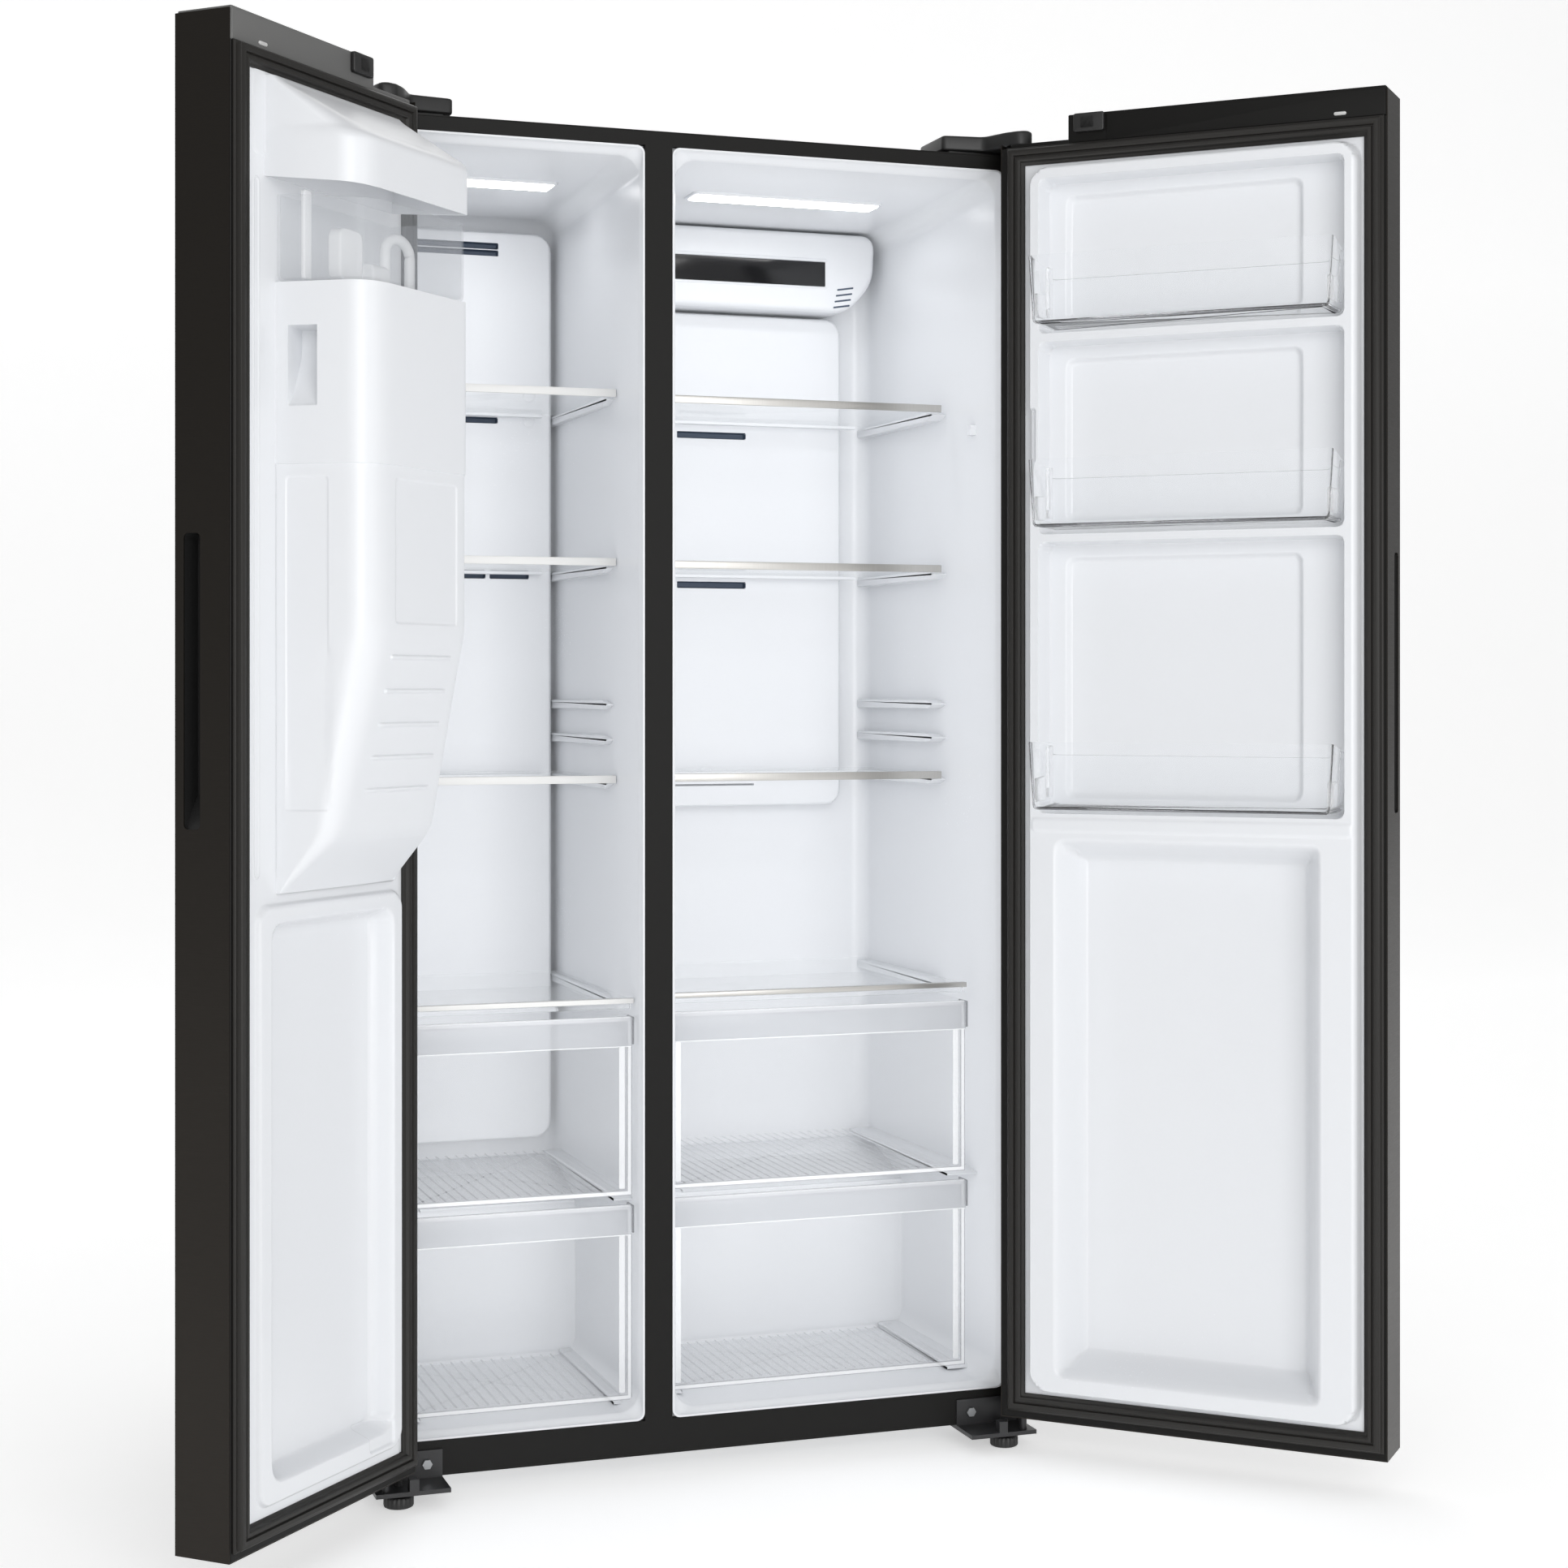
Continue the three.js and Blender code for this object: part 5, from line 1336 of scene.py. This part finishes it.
def build_hinges():
    """Angular upper hinge covers with their pins and screws, and lower brackets with bolts."""
    dress(["left_lower_hinge", "right_lower_hinge"], enamel())
    for side, sign in (("left", -1), ("right", 1)):
        lo, hi = CABINET.span(side + "_upper_hinge")
        hinge = JOINTS[side + "_door_hinge"]["pos_m"]
        px, py = hinge[0] * MM - ORIGIN[0], hinge[1] * MM - ORIGIN[1]
        corners = [(336, 8), (336, 92), (398, 117), (449, 117), (449, 4), (446, py + 4), (440, py - 11),
                   (421, py - 11), (407, py + 8), (392, 0)]
        plan = soft_polygon([(sign * x, y) for x, y in corners], 7, 4)
        cover = prism("z", plan, lo[2] + 19, hi[2], 3.2, 4)
        pad = block((sign * 396 - 50, 12, lo[2] + 15.2), (sign * 396 + 50, 110, lo[2] + 21), 3, 1, "z")
        pin = lathe([(0, 0), (4.2, 0), (5, 1), (5, 26), (0, 26)], (px, py, lo[2]), "z", 24)
        cap = lathe([(0, 0), (10, 0), (10, 1.2), (9, 2.2), (0, 2.2)], (px, py, hi[2] - 1.8), "z", 32)
        screw = lathe([(0, 0), (6, 0), (6, 0.8), (5, 1.4), (0, 1.4)], (sign * 372, 70, hi[2] - 1.0), "z", 6)
        add_piece(side + "_hinge_cover", [cover, pad, pin, cap, screw], black_plastic(), "cabinet",
                  "black_plastic", [side + "_upper_hinge"])
        bolt = [(0, 0), (6.5, 0), (6.5, 3.4), (5.5, 4.2), (0, 4.2)]
        bolts = [lathe(bolt, (sign * x, -7.3, 43), "y", 6) for x in (372, 424)]
        add_piece(side + "_hinge_bolts", bolts, zinc(), "cabinet", "zinc_steel")


def build_feet():
    """The levelling feet: a knurled disc of 24 teeth under a threaded stem, both turned profiles."""
    for side in ("left", "right"):
        lo, hi = CABINET.span(side + "_levelling_foot")
        cx, cy = (lo[0] + hi[0]) / 2, (lo[1] + hi[1]) / 2
        profile = [(0, 0), (16.5, 0), (18.2, 1), (18.4, 2.5), (18.4, 12), (17.4, 13.6), (15, 14), (9, 14.5),
                   (9, 19), (5.5, 19.5)]
        for turn in range(8):
            profile += [(5.5, 20 + turn * 2), (4.9, 21 + turn * 2)]
        profile += [(5.2, 35.5), (0, 35.9)]
        foot = lathe(profile, (cx, cy, 0), "z", 96, 0.55, 24)
        add_piece(side + "_knurled_foot", [foot], black_plastic(), side + "_levelling_foot", "black_plastic",
                  [side + "_levelling_foot"])


# ------------------------------------------------------------------ camera, floor and lights
# The eye in the cabinet's frame, the floor's own glow, and where each compartment's mouth lies in X.
EYE = (-1053.05, -3320.46, 1015.0)
FLOOR_GLOW = 0.46
ROOM_MOUTHS = (("freezer", -400, -105), ("fridge", -25, 400))


def studio_floor():
    """A level sheet that turns up through a quarter circle of 3 m into a backdrop."""
    turns = np.linspace(0, math.pi / 2, 13)
    rows = [(-9.0, 0.0)] + [(4.5 + 3.0 * math.sin(a), 3.0 * (1 - math.cos(a))) for a in turns] + [(7.5, 9.0)]
    points = [(x, y, z - 0.0005) for y, z in rows for x in (-9.0, 9.0)]
    faces = [(2 * i, 2 * i + 1, 2 * i + 3, 2 * i + 2) for i in range(len(rows) - 1)]
    mesh = bpy.data.meshes.new("studio_floor")
    mesh.from_pydata(points, [], faces)
    mesh.shade_smooth()
    paper = surface("Studio floor", (0.86, 0.86, 0.86), (0.84, 0.84, 0.84), scale=6, roughness=0.75,
                    relief_by=0.01)
    glow = paper.node_tree.nodes["Principled BSDF"].inputs
    glow["Emission Color"].default_value = (1, 1, 1, 1)
    glow["Emission Strength"].default_value = FLOOR_GLOW
    mesh.materials.append(paper)
    return bpy.data.objects.new("studio_floor", mesh)


def build_stage():
    """The pale floor, soft studio lights, a fill light in each compartment's mouth, and a level camera."""
    scene = bpy.context.scene
    values = looks()
    camera = bpy.data.cameras.new("camera")
    camera.sensor_width = 36.0
    camera.lens = values.lens
    camera.shift_y = values.shift
    camera.clip_end = 50
    view = bpy.data.objects.new("camera", camera)
    view.location = (np.array(EYE) + ORIGIN) / MM
    view.rotation_euler = (math.radians(90), 0, math.radians(-values.camera_turn))
    scene.collection.objects.link(view)
    scene.camera = view
    floor = studio_floor()
    scene.collection.objects.link(floor)
    lights = [("key", (-2.6, -4.2, 3.6), 2.6, values.key_power),
              ("fill", (3.2, -3.6, 2.4), 2.4, values.key_power * 0.7),
              ("front", (-0.2, -5.4, 1.7), 3.2, values.front_power),
              ("rim", (0.4, 3.4, 4.0), 3.0, values.key_power)]
    for name, place, size, power in lights:
        lamp = bpy.data.lights.new(name, "AREA")
        lamp.size = size
        lamp.energy = power
        made = bpy.data.objects.new(name, lamp)
        made.location = place
        aim = Vector((0.0, 0.1, 0.95)) - Vector(place)
        made.rotation_euler = aim.to_track_quat("-Z", "Y").to_euler()
        scene.collection.objects.link(made)
    for room, low, high in ROOM_MOUTHS:
        lamp = bpy.data.lights.new(room + "_fill", "AREA")
        lamp.shape = "RECTANGLE"
        lamp.size = (high - low) / MM
        lamp.size_y = 1.5
        lamp.energy = values.room_power * lamp.size * lamp.size_y
        made = bpy.data.objects.new(room + "_fill", lamp)
        made.location = (np.array([(low + high) / 2, -14, 870]) + ORIGIN) / MM
        made.rotation_euler = (math.radians(90), 0, 0)
        made.visible_glossy = False
        made.visible_transmission = False
        scene.collection.objects.link(made)
    world = bpy.data.worlds.new("studio")
    world.use_nodes = True
    tree = world.node_tree
    sky = tree.nodes["Background"]
    sky.inputs["Color"].default_value = (1, 1, 1, 1)
    path = tree.nodes.new("ShaderNodeLightPath")
    share = tree.nodes.new("ShaderNodeMath")
    share.operation = "MAXIMUM"
    share.inputs[1].default_value = values.sky_strength
    wire(tree, [(path.outputs["Is Camera Ray"], share.inputs[0]), (share.outputs[0], sky.inputs["Strength"])])
    scene.world = world
    scene.view_settings.view_transform = "Standard"


# ------------------------------------------------------------------ add-on
class FridgeSizes(bpy.types.PropertyGroup):
    """Sizes that a user would change."""

    glass: FloatProperty(name="Glass", description="Thickness of the glass shelves and covers", default=0.004,
                         min=0.001, subtype="DISTANCE", unit="LENGTH")
    liner_wall: FloatProperty(name="Liner wall", description="Wall of the white compartments", default=0.0025,
                              min=0.001, subtype="DISTANCE", unit="LENGTH")
    drawer_wall: FloatProperty(name="Drawer wall", description="Wall of the clear drawers", default=0.0025,
                               min=0.0015, subtype="DISTANCE", unit="LENGTH")
    rib_spacing: FloatProperty(name="Rib spacing",
                               description="Distance between the ribs in a drawer's floor",
                               default=0.013, min=0.004, subtype="DISTANCE", unit="LENGTH")
    bin_wall: FloatProperty(name="Bin wall", description="Wall of the clear door bins", default=0.0022,
                            min=0.001, subtype="DISTANCE", unit="LENGTH")


class FridgeLooks(bpy.types.PropertyGroup):
    """Colours, lights and camera settings that a user would change."""

    liner_color: FloatVectorProperty(name="Liner colour", description="White of the moulded liners",
                                     subtype="COLOR", size=3, min=0, max=1, default=(0.80, 0.815, 0.84))
    steel_color: FloatVectorProperty(name="Door colour", description="Dark brushed steel of the doors",
                                     subtype="COLOR", size=3, min=0, max=1, default=(0.034, 0.030, 0.026))
    frame_color: FloatVectorProperty(name="Frame colour", description="Dark paint of the cabinet",
                                     subtype="COLOR", size=3, min=0, max=1, default=(0.0050, 0.0047, 0.0041))
    room_power: FloatProperty(name="Inside light",
                              description="Watts of fill light for each square metre of a room's mouth",
                              default=1.55, min=0)
    lamp_strength: FloatProperty(name="Lamp strength", description="Glow of the ceiling lamps", default=6.0,
                                 min=0)
    key_power: FloatProperty(name="Key light", description="Power of the high side light", subtype="POWER",
                             default=22, min=0)
    front_power: FloatProperty(name="Front light", description="Power of the wide front light",
                               subtype="POWER", default=108, min=0)
    sky_strength: FloatProperty(name="Sky", description="Strength of the white surroundings", default=0.40,
                                min=0)
    lens: FloatProperty(name="Lens", description="Focal length in millimetres on a 36 mm sensor",
                        default=61.135, min=1)
    shift: FloatProperty(name="Shift", description="Vertical shift of the frame", default=-0.0581)
    camera_turn: FloatProperty(name="Camera turn",
                               description="Angle of the view from straight ahead, in degrees", default=19.24)


class FRIDGE_OT_stage(bpy.types.Operator):
    """Lay the pale floor and set the lights and the camera"""

    bl_idname = "fridge.stage"
    bl_label = "Stage"

    def execute(self, context):
        build_stage()
        return {"FINISHED"}


class FRIDGE_OT_cabinet(bpy.types.Operator):
    """Finish the painted cabinet and the machine space"""

    bl_idname = "fridge.cabinet"
    bl_label = "Cabinet"

    def execute(self, context):
        build_cabinet()
        return {"FINISHED"}


class FRIDGE_OT_compartments(bpy.types.Operator):
    """Build the two white compartments with their rails"""

    bl_idname = "fridge.compartments"
    bl_label = "Compartments"

    def execute(self, context):
        build_liners()
        return {"FINISHED"}


class FRIDGE_OT_ducts(bpy.types.Operator):
    """Build the duct panels and the air hood"""

    bl_idname = "fridge.ducts"
    bl_label = "Air ducts"

    def execute(self, context):
        build_ducts()
        return {"FINISHED"}


class FRIDGE_OT_lamps(bpy.types.Operator):
    """Build the lamp lenses and their rims"""

    bl_idname = "fridge.lamps"
    bl_label = "Ceiling lamps"

    def execute(self, context):
        build_lamps()
        return {"FINISHED"}


class FRIDGE_OT_shelves(bpy.types.Operator):
    """Build the six glass shelves"""

    bl_idname = "fridge.shelves"
    bl_label = "Shelves"

    def execute(self, context):
        build_shelves()
        return {"FINISHED"}


class FRIDGE_OT_drawer_covers(bpy.types.Operator):
    """Build the glass covers over the drawers"""

    bl_idname = "fridge.drawer_covers"
    bl_label = "Drawer covers"

    def execute(self, context):
        build_drawer_covers()
        return {"FINISHED"}


class FRIDGE_OT_drawers(bpy.types.Operator):
    """Build the four clear drawers"""

    bl_idname = "fridge.drawers"
    bl_label = "Drawers"

    def execute(self, context):
        build_drawers()
        return {"FINISHED"}


class FRIDGE_OT_door_edges(bpy.types.Operator):
    """Finish the doors' steel and build their folds, seals and caps"""

    bl_idname = "fridge.door_edges"
    bl_label = "Door edges"

    def execute(self, context):
        build_door_edges()
        return {"FINISHED"}


class FRIDGE_OT_freezer_door_face(bpy.types.Operator):
    """Build the white face inside the freezer door"""

    bl_idname = "fridge.freezer_door_face"
    bl_label = "Freezer door face"

    def execute(self, context):
        build_left_liner()
        return {"FINISHED"}


class FRIDGE_OT_fridge_door_face(bpy.types.Operator):
    """Build the white face inside the fridge door"""

    bl_idname = "fridge.fridge_door_face"
    bl_label = "Fridge door face"

    def execute(self, context):
        build_right_liner()
        return {"FINISHED"}


class FRIDGE_OT_ice_maker(bpy.types.Operator):
    """Build the body of the ice maker"""

    bl_idname = "fridge.ice_maker"
    bl_label = "Ice maker"

    def execute(self, context):
        build_ice_maker()
        return {"FINISHED"}


class FRIDGE_OT_ice_bucket(bpy.types.Operator):
    """Build the clear ice bucket and its inner parts"""

    bl_idname = "fridge.ice_bucket"
    bl_label = "Ice bucket"

    def execute(self, context):
        build_ice_container()
        return {"FINISHED"}


class FRIDGE_OT_ice_hood(bpy.types.Operator):
    """Build the hood over the ice bucket"""

    bl_idname = "fridge.ice_hood"
    bl_label = "Ice hood"

    def execute(self, context):
        build_ice_hood()
        return {"FINISHED"}


class FRIDGE_OT_dispenser(bpy.types.Operator):
    """Build the dispenser outside the freezer door"""

    bl_idname = "fridge.dispenser"
    bl_label = "Dispenser"

    def execute(self, context):
        build_dispenser()
        return {"FINISHED"}


class FRIDGE_OT_door_bins(bpy.types.Operator):
    """Build the three clear door bins"""

    bl_idname = "fridge.door_bins"
    bl_label = "Door bins"

    def execute(self, context):
        build_bins()
        return {"FINISHED"}


class FRIDGE_OT_hinges(bpy.types.Operator):
    """Build the hinge covers and bolts"""

    bl_idname = "fridge.hinges"
    bl_label = "Hinges"

    def execute(self, context):
        build_hinges()
        return {"FINISHED"}


class FRIDGE_OT_feet(bpy.types.Operator):
    """Build the knurled levelling feet"""

    bl_idname = "fridge.feet"
    bl_label = "Feet"

    def execute(self, context):
        build_feet()
        return {"FINISHED"}


OPERATORS = [
    FRIDGE_OT_stage,
    FRIDGE_OT_cabinet,
    FRIDGE_OT_compartments,
    FRIDGE_OT_ducts,
    FRIDGE_OT_lamps,
    FRIDGE_OT_shelves,
    FRIDGE_OT_drawer_covers,
    FRIDGE_OT_drawers,
    FRIDGE_OT_door_edges,
    FRIDGE_OT_freezer_door_face,
    FRIDGE_OT_fridge_door_face,
    FRIDGE_OT_ice_maker,
    FRIDGE_OT_ice_bucket,
    FRIDGE_OT_ice_hood,
    FRIDGE_OT_dispenser,
    FRIDGE_OT_door_bins,
    FRIDGE_OT_hinges,
    FRIDGE_OT_feet,
]


class FRIDGE_PT_panel(bpy.types.Panel):
    """Lists the builders in the order in which they run, and what a user may change"""

    bl_idname = "FRIDGE_PT_panel"
    bl_label = "Fridge"
    bl_space_type = "VIEW_3D"
    bl_region_type = "UI"
    bl_category = "Fridge"

    def draw(self, context):
        for step in OPERATORS:
            self.layout.operator(step.bl_idname)
        for group in (context.scene.fridge_sizes, context.scene.fridge_looks):
            for item in type(group).__annotations__:
                self.layout.prop(group, item)


CLASSES = [FridgeSizes, FridgeLooks, *OPERATORS, FRIDGE_PT_panel]


def register():
    """Registers the classes and hangs the two groups of settings on the scene."""
    for item in CLASSES:
        bpy.utils.register_class(item)
    bpy.types.Scene.fridge_sizes = PointerProperty(type=FridgeSizes)
    bpy.types.Scene.fridge_looks = PointerProperty(type=FridgeLooks)


def unregister():
    """Takes both away again."""
    del bpy.types.Scene.fridge_looks
    del bpy.types.Scene.fridge_sizes
    for item in reversed(CLASSES):
        bpy.utils.unregister_class(item)


def main():
    register()
    bpy.ops.fridge.stage()
    bpy.ops.fridge.cabinet()
    bpy.ops.fridge.compartments()
    bpy.ops.fridge.ducts()
    bpy.ops.fridge.lamps()
    bpy.ops.fridge.shelves()
    bpy.ops.fridge.drawer_covers()
    bpy.ops.fridge.drawers()
    bpy.ops.fridge.door_edges()
    bpy.ops.fridge.freezer_door_face()
    bpy.ops.fridge.fridge_door_face()
    bpy.ops.fridge.ice_maker()
    bpy.ops.fridge.ice_bucket()
    bpy.ops.fridge.ice_hood()
    bpy.ops.fridge.dispenser()
    bpy.ops.fridge.door_bins()
    bpy.ops.fridge.hinges()
    bpy.ops.fridge.feet()


if __name__ == "__main__":
    main()
